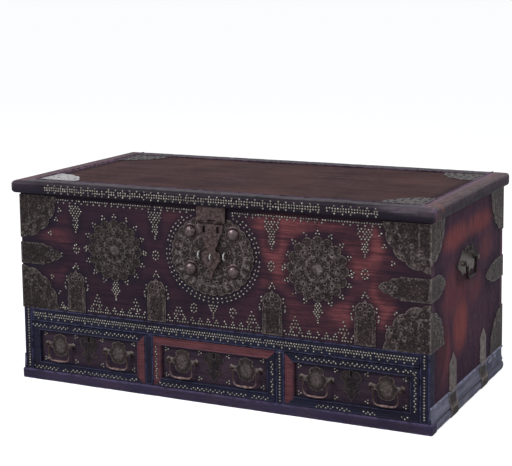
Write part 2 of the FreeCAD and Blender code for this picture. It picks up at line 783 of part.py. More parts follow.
def corner_brass():
    """Quarter plates and pointed straps on the four upright edges, all bent round them."""
    holes = ("corner_hole_ring", "corner_hole_radius")
    strap_hole = "corner_hole_radius"
    strap_y = pointed(-1, "strap_front_length", "strap_height")
    strap_x = pointed(1, "strap_side_length", "strap_height")
    hole_y = [("strap_tip - strap_front_length", "0", strap_hole)]
    hole_x = [("strap_side_length - strap_tip", "0", strap_hole)]
    front_edge = ("half_width", "front")
    front_set = [
        corner_plate("upper_front_corner", (*front_edge, "case_height - corner_drop"),
                     (quarter(-1, -1, "corner_front_radius"), quarter(1, -1, "corner_side_radius"),
                      ring_holes(-1, -1, *holes), ring_holes(1, -1, *holes), False)),
        corner_plate("front_strap", (*front_edge, "strap_level"), (strap_y, strap_x, hole_y, hole_x, False)),
        corner_plate("lower_front_corner", (*front_edge, "mid_rail_top"),
                     (quarter(-1, 1, "corner_front_radius"), quarter(1, 1, "corner_side_radius"),
                      ring_holes(-1, 1, *holes), ring_holes(1, 1, *holes), False)),
    ]
    back_edge = ("half_width", "back")
    strap_y = pointed(-1, "back_return", "strap_height")
    strap_x = pointed(-1, "back_strap_length", "strap_height")
    hole_x = [("strap_tip - back_strap_length", "0", strap_hole)]
    back_set = [
        corner_plate("upper_back_corner", (*back_edge, "case_height - corner_drop"),
                     (quarter(-1, -1, "back_return"), quarter(-1, -1, "back_corner_radius"),
                      [], ring_holes(-1, -1, *holes), True)),
        corner_plate("back_strap", (*back_edge, "back_strap_level"), (strap_y, strap_x, [], hole_x, True)),
        corner_plate("lower_back_corner", (*back_edge, "plinth_height"),
                     (quarter(-1, 1, "back_return"), quarter(-1, 1, "back_corner_radius"),
                      [], ring_holes(-1, 1, *holes), True)),
    ]
    pieces = {}
    for end, corners in (("front", front_set), ("back", back_set)):
        right = group(f"right_{end}_corner_brass", corners)
        pieces[f"right_{end}_corner_brass"] = right
        pieces[f"left_{end}_corner_brass"] = mirrored(f"left_{end}_corner_brass", right)
    return pieces


def boss(name, x, z):
    """A dome on a thin rim, turned about an axis that points out of the front."""
    body = doc.addObject("PartDesign::Body", name)
    sketch = new_sketch(body, name + "_section", "XY_Plane")
    draw(sketch, "a", [
        ("0", "-boss_rim_thick - boss_height"),
        ("boss_radius", "-boss_rim_thick",
         "(boss_radius * boss_radius + boss_height * boss_height) / (2 * boss_height)"),
        ("boss_rim_radius", "-boss_rim_thick"),
        ("boss_rim_radius", "0"),
        ("0", "0"),
    ])
    dome = body.newObject("PartDesign::Revolution", name + "_dome")
    dome.Profile = sketch
    dome.ReferenceAxis = (sketch, ["V_Axis"])
    dome.Angle = 360
    return at(body, x, "front - lock_plate_thick", z)


def front_brass():
    """The lock plate with bosses and staples, the rosettes, the arched plates and the box lock."""
    lock = pierced_disc("lock_plate", "lock_plate_radius", "lock_plate_thick", LOCK_LOBES,
                        "lock_lobe_radius", "lock_hole_ring", "lock_hole_radius")
    pieces = {"lock_plate": at(lock, "brass_shift", "front", "lock_height")}
    bosses = []
    staples = []
    for side in SIDES:
        for level in ("boss_up", "-boss_down"):
            bosses.append(boss(f"boss_{len(bosses)}", f"brass_shift + {side} * boss_side",
                               f"lock_height + {level}"))
        staple = half_ring(f"staple_{len(staples)}", "staple_radius", "staple_rod")
        staples.append(at(staple, f"brass_shift + {side} * staple_side", "front - lock_plate_thick",
                          "lock_height"))
    pieces["lock_bosses"] = group("lock_bosses", bosses)
    pieces["lock_staples"] = group("lock_staples", staples)
    rosettes = []
    for side, hand in zip(SIDES, ("left", "right")):
        rosette = pierced_disc(hand + "_rosette", "rosette_radius", "brass_thick", ROSETTE_LOBES,
                               "rosette_lobe_radius", "rosette_hole_ring", "rosette_hole_radius")
        rosettes.append(at(rosette, f"brass_shift + {side} * rosette_side", "front", "rosette_height"))
    pieces["rosettes"] = group("rosettes", rosettes)
    half = "arch_width / 2"
    shoulder = f"(arch_height - {half})"
    arch = [("-arch_width / 2", "0"), (half, "0"), (half, shoulder), ("0", "arch_height", half),
            (f"-{half}", shoulder, half)]
    holes = [("0", "arch_height - arch_hole_drop + arch_hole_side", "arch_hole_radius"),
             ("0", "arch_height - arch_hole_drop - arch_hole_side", "arch_hole_radius"),
             ("arch_hole_side", "arch_height - arch_hole_drop", "arch_hole_radius"),
             ("-arch_hole_side", "arch_height - arch_hole_drop", "arch_hole_radius")]
    arches = []
    for side in SIDES:
        for reach in ("arch_inner_side", "arch_outer_side"):
            plate = padded(f"arch_{len(arches)}", "XZ_Plane", arch, "brass_thick", circles=holes)
            arches.append(at(plate, f"brass_shift + {side} * {reach}", "front", "mid_rail_top + arch_lift"))
    pieces["arch_plates"] = group("arch_plates", arches)
    pieces["box_lock"] = board(
        "box_lock", ("brass_shift - box_lock_width / 2", "brass_shift + box_lock_width / 2"),
        ("front + front_thick", "front + front_thick + box_lock_depth"),
        ("case_height - box_lock_drop - box_lock_height", "case_height - box_lock_drop"))
    return pieces


def side_handles():
    """A lozenge plate with two bored posts on each side, and the bail that hangs between them."""
    along = by_shares(HANDLE_PLATE_SHARES, "handle_plate_length / 2", "handle_plate_height / 2")
    plate = padded("right_handle_sheet", "YZ_Plane", along, "brass_thick")
    at(plate, "half_width", "handle_middle", "handle_level")
    fittings = [plate]
    for side in SIDES:
        foot = ("half_width + brass_thick", f"handle_middle + {side} * handle_span / 2", "handle_level")
        lengths = ("handle_pivot_out + handle_post_cap", "handle_pivot_out")
        fittings.append(post(f"handle_post_{len(fittings)}", ("x", 1), foot, "handle_post_radius", lengths,
                             "handle_rod + pin_clearance", "y"))
    right_plate = group("right_handle_plate", fittings)
    size = ("handle_span", "handle_leg_span", "handle_drop", "handle_rod", "handle_neck_radius",
            "handle_bend_radius", "handle_pin_over")
    right = bail("right_side_handle", "YZ_Plane", "XZ_Plane", -1, size)
    at(right, "half_width + brass_thick + handle_pivot_out", "handle_middle", "handle_level")
    return {
        "handle_plates": group("handle_plates", [right_plate, mirrored("left_handle_plate", right_plate)]),
        "right_side_handle": right,
        "left_side_handle": mirrored("left_side_handle", right),
    }


def lid_boards():
    """The lid's top board, its moulded border mitred at the front corners, and its rear strip."""
    pieces = {
        "lid_board": board("lid_board", ("-lid_inner", "lid_inner"), ("front + lid_strip", "back"),
                           ("lid_bottom", "lid_field")),
        "lid_rear_strip": board("lid_rear_strip", ("-lid_inner", "lid_inner"),
                                ("back - lid_back_strip_width", "back"), ("lid_field", "lid_top")),
    }
    band_low, band_high = "lid_bottom + lid_band_low", "lid_bottom + lid_band_high"
    front_profile = [
        ("front - lid_lip_reach", "lid_bottom", "lid_under_radius"),
        ("front + lid_strip", "lid_bottom"),
        ("front + lid_strip", "lid_top"),
        ("front - lid_top_reach", "lid_top"),
        ("front - lid_band_reach", band_high, "lid_round_radius"),
        ("front - lid_band_reach", band_low),
    ]
    end_profile = [
        ("lid_inner", "lid_bottom"),
        ("half_width + lid_lip_reach", "lid_bottom"),
        ("lid_half", band_low, "lid_under_radius"),
        ("lid_half", band_high),
        ("half_width + lid_top_reach", "lid_top", "lid_round_radius"),
        ("lid_inner", "lid_top"),
    ]
    tall = "lid_height + 2 * cut_overrun"
    low = "lid_bottom - cut_overrun"
    front_edge = "front - lid_band_reach"
    front_length = padded("lid_front_length", "YZ_Plane", front_profile, "2 * lid_half", "-lid_half")
    front_mitre = padded("lid_front_mitre", "XY_Plane", [
        ("-lid_half", front_edge), ("lid_half", front_edge),
        ("lid_inner", "front + lid_strip"), ("-lid_inner", "front + lid_strip"),
    ], tall, low)
    end_length = padded("lid_end_length", "XZ_Plane", end_profile, "case_depth + lid_band_reach", "-back")
    end_mitre = padded("lid_end_mitre", "XY_Plane", [
        ("lid_half", front_edge), ("lid_half", "back"),
        ("lid_inner", "back"), ("lid_inner", "front + lid_strip"),
    ], tall, low)
    right = common("right_lid_moulding", end_length, end_mitre)
    pieces["lid_front_moulding"] = common("lid_front_moulding", front_length, front_mitre)
    pieces["lid_end_mouldings"] = group("lid_end_mouldings", [right, mirrored("left_lid_moulding", right)])
    plates = []
    for up, y in ((1, "front + lid_strip"), (-1, "back - lid_back_strip_width")):
        plate = padded(f"lid_corner_{len(plates)}", "XY_Plane", quarter(-1, up, "corner_front_radius"),
                       "brass_thick", circles=ring_holes(-1, up, "corner_hole_ring", "corner_hole_radius"))
        plates.append(at(plate, "lid_inner", y, "lid_field"))
    right_plates = group("right_lid_corner_plates", plates)
    pieces["lid_corner_plates"] = group("lid_corner_plates",
                                        [right_plates, mirrored("left_lid_corner_plates", right_plates)])
    return pieces


def lid_hinges():
    """Two butt hinges on the back: leaves on the case and on the lid, and their pins."""
    axis = ("hinge_axis_y", "lid_bottom")
    skin = ("back", "back + hinge_leaf_thick")
    case_leaves, lid_leaves, pins = [], [], []
    for side in SIDES:
        middle = f"{side} * hinge_spread / 2"
        across = (f"{middle} - hinge_width / 2", f"{middle} + hinge_width / 2")
        tag = len(pins)
        low_edge, high_edge = "lid_bottom - hinge_clear", "lid_bottom + hinge_clear"
        below = board(f"case_leaf_plate_{tag}", across, skin, (f"{low_edge} - case_leaf_height", low_edge))
        above = board(f"lid_leaf_plate_{tag}", across, skin, (high_edge, f"{high_edge} + lid_leaf_height"))
        sizes = ("hinge_radius", "hinge_pin_radius + pin_clearance")
        case_leaves.append(knuckled_leaf(f"case_leaf_{tag}", middle, "hinge_width", axis,
                                         (below, skin, low_edge), True, *sizes))
        lid_leaves.append(knuckled_leaf(f"lid_leaf_{tag}", middle, "hinge_width", axis,
                                        (above, skin, high_edge), False, *sizes))
        pins.append(rod(f"hinge_pin_{tag}", "x", (across[0], *axis), "hinge_width", "hinge_pin_radius"))
    return {
        "case_hinge_leaves": group("case_hinge_leaves", case_leaves),
        "lid_hinge_leaves": group("lid_hinge_leaves", lid_leaves),
        "hinge_pins": group("hinge_pins", pins),
    }


def hasp_pieces():
    """The leaf nailed under the lid's edge, the hasp that swings from it, and their pin."""
    axis = ("hasp_axis_y", "hasp_axis_z")
    skin = ("front - hasp_standoff - hasp_thick", "front - hasp_standoff")
    across = ("brass_shift - hasp_width / 2", "brass_shift + hasp_width / 2")
    sizes = ("hasp_barrel_radius", "hasp_pin_radius + pin_clearance")
    leaf_edge = "hasp_axis_z + hasp_clear"
    upright = board("hasp_leaf_plate", across, skin, (leaf_edge, "lid_bottom"))
    tab = board("hasp_leaf_tab", across, (skin[0], "front - hasp_tab_gap"),
                ("lid_bottom - hasp_thick", "lid_bottom"))
    leaf_plate = joined("hasp_leaf_bent", [upright, tab])
    leaf = knuckled_leaf("hasp_leaf", "brass_shift", "hasp_width", axis, (leaf_plate, skin, leaf_edge),
                         True, *sizes)
    slots = []
    for side in SIDES:
        inner = f"{side} * hasp_slot_side - hasp_slot_width / 2"
        outer = f"{side} * hasp_slot_side + hasp_slot_width / 2"
        low, high = "-hasp_slot_drop - hasp_slot_height", "-hasp_slot_drop"
        slots.append([(inner, low), (outer, low), (outer, high), (inner, high)])
    hasp_edge = "hasp_axis_z - hasp_clear"
    outline = by_shares(HASP_SHARES, "hasp_body_width / 2", "(hasp_length - hasp_clear)")
    sheet_metal = padded("hasp_plate", "XZ_Plane", outline, "hasp_thick", slots=slots)
    at(sheet_metal, "brass_shift", "front - hasp_standoff", hasp_edge)
    hasp = knuckled_leaf("hasp_hinged", "brass_shift", "hasp_width", axis, (sheet_metal, skin, hasp_edge),
                         False, *sizes)
    eye = half_ring("hasp_eye", "hasp_eye_radius", "hasp_eye_rod")
    at(eye, "brass_shift", "front - hasp_standoff - hasp_thick", "hasp_axis_z - hasp_eye_drop")
    return {
        "hasp_leaf": leaf,
        "hasp_pin": rod("hasp_pin", "x", (across[0], *axis), "hasp_width", "hasp_pin_radius"),
        "hasp": joined("hasp", [hasp, eye]),
    }


def drawer_moulding(side):
    """Four mitred strips that frame the face of a drawer."""
    low, high, half = "drawer_low", "drawer_high", "drawer_half"
    inset = "drawer_moulding_width"
    outer = [(f"-{half}", low), (half, low), (half, high), (f"-{half}", high)]
    inner = [(f"{inset} - {half}", f"{low} + {inset}"), (f"{half} - {inset}", f"{low} + {inset}"),
             (f"{half} - {inset}", f"{high} - {inset}"), (f"{inset} - {half}", f"{high} - {inset}")]
    strips = []
    for index in range(4):
        following = (index + 1) % 4
        corners = [outer[index], outer[following], inner[following], inner[index]]
        strips.append(padded(f"{side}_drawer_strip_{index}", "XZ_Plane", corners, "drawer_moulding_thick"))
    return strips


def pull_fittings(side, middle):
    """Back plates and bored posts of a drawer's two pulls, with its keyhole plate and lock."""
    pieces = []
    plate = by_shares(PULL_PLATE_SHARES, "pull_plate_width / 2", "pull_plate_height / 2")
    for hand in SIDES:
        x = f"{middle} + {hand} * pull_side"
        sheet_metal = padded(f"{side}_pull_plate_{len(pieces)}", "XZ_Plane", plate, "pull_plate_thick")
        pieces.append(at(sheet_metal, x, "drawer_face", "pull_level - pull_plate_drop"))
        for end in SIDES:
            foot = (f"{x} + {end} * pull_span / 2", "drawer_face - pull_plate_thick", "pull_level")
            lengths = ("pull_pivot_out + pull_post_cap", "pull_pivot_out")
            pieces.append(post(f"{side}_pull_post_{len(pieces)}", ("y", -1), foot, "pull_post_radius",
                               lengths, "pull_rod + pin_clearance", "x"))
    keyhole = padded(f"{side}_keyhole_plate", "XZ_Plane",
                     by_shares(KEYHOLE_PLATE_SHARES, "keyhole_plate_width / 2", "keyhole_plate_height / 2"),
                     "pull_plate_thick",
                     circles=[("0", "keyhole_up", "keyhole_radius")])
    pieces.append(at(keyhole, middle, "drawer_face", "keyhole_plate_level"))
    lock_top = "drawer_high - drawer_lock_drop"
    pieces.append(board(f"{side}_drawer_lock",
                        (f"{middle} - drawer_lock_width / 2", f"{middle} + drawer_lock_width / 2"),
                        ("drawer_front_back", "drawer_front_back + drawer_lock_depth"),
                        (f"{lock_top} - drawer_lock_height", lock_top)))
    return pieces


def drawer(side, place):
    """One drawer: its front, box, bottom, face moulding, fittings and two bails."""
    middle = f"{place} * drawer_pitch"
    span = (f"{middle} - drawer_half", f"{middle} + drawer_half")
    inner = (f"{span[0]} + drawer_side_thick", f"{span[1]} - drawer_side_thick")
    depth = ("drawer_front_back", "drawer_end")
    height = ("drawer_low", "drawer_low + drawer_side_height")
    bottom_low = "drawer_low + drawer_bottom_lift"
    walls = [
        board(f"{side}_drawer_wall_0", (span[0], inner[0]), depth, height),
        board(f"{side}_drawer_wall_1", (inner[1], span[1]), depth, height),
        board(f"{side}_drawer_wall_2", inner, ("drawer_end - drawer_side_thick", "drawer_end"), height),
    ]
    pieces = {
        f"{side}_drawer_front": board(f"{side}_drawer_front", span, ("drawer_face", "drawer_front_back"),
                                      ("drawer_low", "drawer_high")),
        f"{side}_drawer_box": group(f"{side}_drawer_box", walls),
        f"{side}_drawer_bottom": board(f"{side}_drawer_bottom", inner,
                                       ("drawer_front_back", "drawer_end - drawer_side_thick"),
                                       (bottom_low, f"{bottom_low} + drawer_bottom_thick")),
        f"{side}_drawer_fittings": group(f"{side}_drawer_fittings", pull_fittings(side, middle)),
    }
    frame = group(f"{side}_drawer_moulding", drawer_moulding(side))
    pieces[f"{side}_drawer_moulding"] = at(frame, middle, "drawer_face")
    size = ("pull_span", "pull_leg_span", "pull_drop", "pull_rod", "pull_neck_radius",
            "pull_bend_radius", "pull_pin_over")
    for hand, hand_name in zip(SIDES, ("left", "right")):
        name = f"{side}_drawer_{hand_name}_bail"
        loop = bail(name, "XZ_Plane", "YZ_Plane", 1, size)
        pieces[name] = at(loop, f"{middle} + {hand} * pull_side",
                          "drawer_face - pull_plate_thick - pull_pivot_out", "pull_level")
    return pieces


def domed_nail(out):
    """A nail's low dome, flat underneath at its own origin, with its crown towards out."""
    base, rise = number("stud_radius"), number("stud_height")
    radius = (base * base + rise * rise) / (2 * rise)
    latitude = math.degrees(math.asin((radius - rise) / radius))
    return Part.makeSphere(radius, out * (rise - radius), out, latitude, 90, 360)


def nails(name, nail, spots):
    """Copies of one nail at the given places, as one object."""
    bundle = doc.addObject("Part::Feature", name)
    copies = []
    for spot in spots:
        copy = nail.copy()
        copy.translate(spot)
        copies.append(copy)
    bundle.Shape = Part.makeCompound(copies)
    return bundle


def row(low, high, pitch):
    """Evenly spaced places from low to high, about a pitch apart."""
    gaps = max(1, round((high - low) / pitch))
    return [low + (high - low) * step / gaps for step in range(gaps + 1)]


def front_nail_spots():
    """Places (x, z) of the nails on the front: rows, the lock's ring, rosette groups and pendants."""
    shift, level = number("brass_shift"), number("lock_height")
    pitch, small = number("stud_pitch"), number("stud_small_pitch")
    spots = []
    ring = number("lock_stud_ring")
    highest = number("case_height - stud_row_clear")
    for step in range(LOCK_STUDS):
        angle = 2 * math.pi * step / LOCK_STUDS
        x, z = shift + ring * math.sin(angle), level + ring * math.cos(angle)
        if z < highest:
            spots.append((x, z))
    for side in SIDES:
        centre = shift + side * number("rosette_side")
        for step in range(ROSETTE_LOBES):
            angle = 2 * math.pi * step / ROSETTE_LOBES
            reach = number("rosette_stud_ring")
            for out_share, across_share in NAIL_GROUP_SHARES:
                out, across = reach + out_share * small, across_share * small
                x = centre + out * math.sin(angle) + across * math.cos(angle)
                z = number("rosette_height") + out * math.cos(angle) - across * math.sin(angle)
                spots.append((x, z))
        for reach in ("arch_inner_side", "arch_outer_side"):
            middle = shift + side * number(reach)
            for line in range(PENDANT_ROWS):
                count = PENDANT_ROWS - line
                for place in range(count):
                    x = middle + (place - (count - 1) / 2) * small
                    spots.append((x, number("case_height - pendant_drop") - line * small))
    upper = number("case_height - stud_row_drop")
    edge = number("half_width - corner_front_radius - stud_row_clear")
    gap = number("hasp_width / 2 + stud_row_clear")
    lock_gap = math.sqrt(ring * ring - (upper - level) ** 2) + small
    for x in row(shift + max(gap, lock_gap), edge, pitch) + row(-edge, shift - max(gap, lock_gap), pitch):
        spots.append((x, upper))
    lower = number("mid_rail_top + stud_row_lift")
    for x in row(-edge, edge, pitch):
        spots.append((x, lower))
    inner = number("stile_inner - stud_row_clear")
    for x in row(-inner, inner, pitch):
        spots.append((x, number("mid_rail_top - mid_rail_height / 2")))
    stile = number("half_width - stile_width / 2")
    divider = number("drawer_pitch / 2")
    low = number("base_rail_height + stud_row_clear")
    for x in (-stile, -divider, divider, stile):
        for z in row(low, number("opening_high - stud_row_clear"), pitch):
            spots.append((x, z))
    return clear_spots(spots)


def clear_spots(spots):
    """The places whose nails touch no arched plate, no corner brass and no nail before them."""
    room = number("stud_radius + nail_clear")
    arch_top = number("mid_rail_top + arch_lift + arch_height") + room
    arch_half = number("arch_width / 2") + room
    arches = [number(f"brass_shift + {side} * {reach}")
              for side in SIDES for reach in ("arch_inner_side", "arch_outer_side")]
    panel_low = number("mid_rail_top")
    brass_edge = number("half_width - corner_front_radius") - room
    kept = []
    for x, z in spots:
        on_panel = z > panel_low
        on_arch = on_panel and z < arch_top and any(abs(x - arch) < arch_half for arch in arches)
        on_corner = on_panel and abs(x) > brass_edge
        if on_arch or on_corner or any(math.hypot(x - u, z - w) < 2 * room for u, w in kept):
            continue
        kept.append((x, z))
    return kept


def nail_groups():
    """The domed nails on the case's front and along the lid's front band."""
    forward = vector(0, -1)
    nail = domed_nail(forward)
    case_spots = [vector(x, number("front"), z) for x, z in front_nail_spots()]
    band_y = number("front - lid_band_reach")
    band_z = number("lid_bottom + (lid_band_low + lid_band_high) / 2")
    reach = number("half_width - corner_front_radius")
    lid_spots = [vector(x, band_y, band_z) for x in row(-reach, reach, number("stud_pitch"))]
    return {
        "case_nails": nails("case_nails", nail, case_spots),
        "lid_nails": nails("lid_nails", nail, lid_spots),
    }


def check(pieces):
    """Stop if any object failed, or if a piece is empty, invalid or holds no solid."""
    for thing in doc.Objects:
        if "Invalid" in thing.State or "Error" in thing.State:
            raise RuntimeError(f"{thing.Label} did not recompute")
    for name, piece in pieces.items():
        if piece.Shape.isNull() or not piece.Shape.isValid() or not piece.Shape.Solids:
            raise RuntimeError(f"{name} is not a valid solid")


def main():
    pieces = {}
    pieces.update(case_boards())
    pieces.update(foot_mouldings())
    pieces.update(foot_straps())
    pieces.update(corner_brass())
    pieces.update(front_brass())
    pieces.update(side_handles())
    pieces.update(lid_boards())
    pieces.update(lid_hinges())
    pieces.update(hasp_pieces())
    for side, place in (("left", -1), ("middle", 0), ("right", 1)):
        pieces.update(drawer(side, place))
    pieces.update(nail_groups())
    doc.recompute()
    check(pieces)
    os.makedirs("parts", exist_ok=True)
    for name, piece in pieces.items():
        piece.Label = name
        piece.Shape.exportStep(os.path.join("parts", name + ".step"))
        box = piece.Shape.BoundBox
        print(f"{name}: {len(piece.Shape.Solids)} solids, x {box.XMin:.1f} {box.XMax:.1f},"
              f" y {box.YMin:.1f} {box.YMax:.1f}, z {box.ZMin:.1f} {box.ZMax:.1f}")


main()
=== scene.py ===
import math
import random
from functools import cached_property

import bmesh
import bpy
from mathutils import Matrix, Vector, noise


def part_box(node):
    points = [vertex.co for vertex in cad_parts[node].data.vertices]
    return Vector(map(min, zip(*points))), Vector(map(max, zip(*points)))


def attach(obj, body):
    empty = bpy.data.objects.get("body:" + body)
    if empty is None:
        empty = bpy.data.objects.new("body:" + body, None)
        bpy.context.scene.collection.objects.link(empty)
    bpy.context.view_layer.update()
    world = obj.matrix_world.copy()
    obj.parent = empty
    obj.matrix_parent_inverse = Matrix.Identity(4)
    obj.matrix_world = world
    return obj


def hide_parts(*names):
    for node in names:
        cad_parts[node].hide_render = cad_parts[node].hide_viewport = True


bl_info = {
    "name": "Dowry chest",
    "version": (1, 0, 0),
    "blender": (4, 5, 0),
    "location": "3D View > Sidebar > Chest",
    "description": "Finishes a brass-bound dowry chest round its packed frame",
    "category": "Object",
}

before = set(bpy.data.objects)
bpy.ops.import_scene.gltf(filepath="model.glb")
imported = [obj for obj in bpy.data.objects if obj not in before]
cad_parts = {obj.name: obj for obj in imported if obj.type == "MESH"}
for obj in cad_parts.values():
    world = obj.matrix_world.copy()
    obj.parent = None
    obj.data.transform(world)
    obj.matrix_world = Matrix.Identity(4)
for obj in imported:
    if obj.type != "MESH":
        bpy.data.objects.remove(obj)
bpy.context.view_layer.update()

MM = 0.001
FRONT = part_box("front_board")[0].y
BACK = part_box("back_board")[1].y
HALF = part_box("front_board")[1].x
RAIL_TOP, RAIL_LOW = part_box("mid_rail")[1].z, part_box("mid_rail")[0].z
CASE_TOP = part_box("front_board")[1].z
LID_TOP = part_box("lid_front_moulding")[1].z
LID_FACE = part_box("lid_nails")[1].y
LID_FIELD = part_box("lid_board")[1].z
LOCK_LOW, LOCK_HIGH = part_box("lock_plate")
LOCK_X, LOCK_Z = (LOCK_LOW.x + LOCK_HIGH.x) / 2, (LOCK_LOW.z + LOCK_HIGH.z) / 2
LOCK_FACE = LOCK_LOW.y
ROSE_LOW, ROSE_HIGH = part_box("rosettes")
ROSE_SIZE, ROSE_Z = (ROSE_HIGH.z - ROSE_LOW.z) / 2, (ROSE_HIGH.z + ROSE_LOW.z) / 2
ROSE_X = (ROSE_LOW.x + ROSE_SIZE, ROSE_HIGH.x - ROSE_SIZE)
ARCHES_LOW, ARCHES_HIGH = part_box("arch_plates")
DRAWERS = ("left", "middle", "right")
HANDS = (("left", -1), ("right", 1))

# Sizes of the sheet work that the frame doesn't carry
SHEET = 2 * MM
ARCH_HALF, ARCH_INNER = 29 * MM, 177 * MM
LOCK_REACH, LOCK_SQUASH = 126 * MM, 0.88
ROSE_REACH = 88 * MM
LID_CORNER_REACH = 124 * MM
STRAP_LEVEL, BACK_STRAP_LEVEL, BACK_FOOT = 374 * MM, 312 * MM, 72 * MM
KEY_PLATE_LEVEL, KEYHOLE_LEVEL = 102 * MM, 133.5 * MM
DRAWER_STRIP, DRAWER_STRIP_THICK = 25 * MM, 7.5 * MM
PLINTH_GROOVE, PLINTH_BEAD = 26 * MM, 69 * MM
PULL_POST, HASP_EYE_DROP = 43 * MM, 99.5 * MM
# Right halves of the cut outlines, from top to bottom, in millimetres
ARCH_PLATE = [(0, 122), (7, 113), (17, 112), (24, 104), (29, 92), (26, 80), (29, 70), (29, 0)]
PULL_PLATE = [(0, 37), (9, 33), (17, 31), (22, 24), (20, 16), (27, 9), (36, 10), (44, 13), (50, 9), (50, 1),
              (45, -5), (37, -7), (28, -6), (24, -14), (22, -22), (12, -29), (0, -31)]
KEY_PLATE = [(0, 42), (8, 40), (18, 39), (27, 33), (31, 24), (29, 14), (22, 8), (17, 0), (21, -8), (27, -12),
             (24, -20), (14, -20), (12, -28), (7, -36), (0, -44)]
# The left half of a bail's line with the bar's radius there, and its middle, in millimetres
BAIL = [(-47.5, 0, 2.4), (-43, 0, 2.4), (-37, 0, 2.4), (-33, -3, 2.4), (-33.5, -12, 2.3), (-35, -24, 2.3),
        (-32, -38, 2.5), (-22, -42.5, 2.6), (-9, -43, 3.0)]
BAIL_MIDDLE = (0, -43, 4.2)
# Holes of a corner plate: share of its reach and degrees up from level
CORNER_HOLES = ((0.80, 14), (0.80, 38), (0.80, 62), (0.80, 80), (0.6, 26), (0.6, 50), (0.62, 72),
                (0.92, 26), (0.92, 50))
# A vertex this near to a board's outer face is painted as part of that face
SKIN = 3 * MM
# How far a nail set by hand is off its line
NAIL_WANDER = 0.5 * MM

UPRIGHT = Matrix.Rotation(math.pi / 2, 4, "X")
ON_TOP = Matrix.Rotation(-math.pi / 2, 4, "X")


def place(x=0.0, y=0.0, z=0.0):
    """A move to a place."""
    return Matrix.Translation((x, y, z))


def smooth(value, low, high):
    """A soft step from 0 at low to 1 at high."""
    share = min(1.0, max(0.0, (value - low) / (high - low)))
    return share * share * (3 - 2 * share)


class ChestSizes(bpy.types.PropertyGroup):
    """Sizes of the chest's small fittings."""
    nail_radius: bpy.props.FloatProperty(
        name="Nail radius", description="Radius of a domed nail's head", default=3.0 * MM, unit="LENGTH")
    nail_height: bpy.props.FloatProperty(
        name="Nail height", description="Height of a domed nail's head", default=2.0 * MM, unit="LENGTH")
    nail_pitch: bpy.props.FloatProperty(
        name="Nail pitch", description="Distance between the nails of a close row", default=7.6 * MM,
        unit="LENGTH")
    sheet_relief: bpy.props.FloatProperty(
        name="Sheet relief", description="Height of the beaten work in the sheet brass", default=1.1 * MM,
        unit="LENGTH")
    edge_round: bpy.props.FloatProperty(
        name="Edge rounding", description="How far the boards' edges are rubbed away", default=1.2 * MM,
        unit="LENGTH")


def colour(name, description, default):
    """A colour that a user can change."""
    return bpy.props.FloatVectorProperty(name=name, description=description, default=default, size=3,
                                         min=0, max=1, subtype="COLOR")


class ChestColours(bpy.types.PropertyGroup):
    """Colours of the chest's finishes."""
    varnish: colour("Varnish", "Old varnish on the panels", (0.040, 0.019, 0.030))
    varnish_dark: colour("Dark varnish", "Varnish gone nearly black", (0.019, 0.012, 0.021))
    bare_red: colour("Bare wood", "Red hardwood where the varnish has worn off", (0.190, 0.060, 0.066))
    # Dark colour for dirt round the brass, also used as painted shade under the lid, under its mouldings and
    # in recesses
    grime: colour("Grime", "Dirt round the brass", (0.013, 0.011, 0.020))
    paint: colour("Paint", "Blue-black paint of the rails", (0.018, 0.019, 0.040))
    paint_worn: colour("Worn paint", "Paint rubbed grey at the edges", (0.100, 0.098, 0.140))
    foot: colour("Foot", "Purple-brown of the foot mouldings", (0.042, 0.033, 0.068))
    lid: colour("Lid", "Dusty varnish of the lid's field", (0.075, 0.044, 0.046))
    inside: colour("Inside", "Dry bare wood inside", (0.230, 0.130, 0.070))
    brass: colour("Brass", "Dull sheet brass", (0.051, 0.036, 0.037))
    brass_dark: colour("Brass patina", "Patina in the hollows", (0.010, 0.008, 0.010))
    # Light brass colour: rubbing wear, and the painted highlight on rims, folds and nail crowns
    brass_light: colour("Rubbed brass", "Brass rubbed bright", (0.235, 0.198, 0.185))
    nail: colour("Nail brass", "Shoulders of the nails", (0.130, 0.118, 0.102))
    bail: colour("Bail brass", "Brown brass rubbed by hands", (0.080, 0.050, 0.050))
    iron: colour("Iron", "Rusted iron", (0.030, 0.025, 0.023))


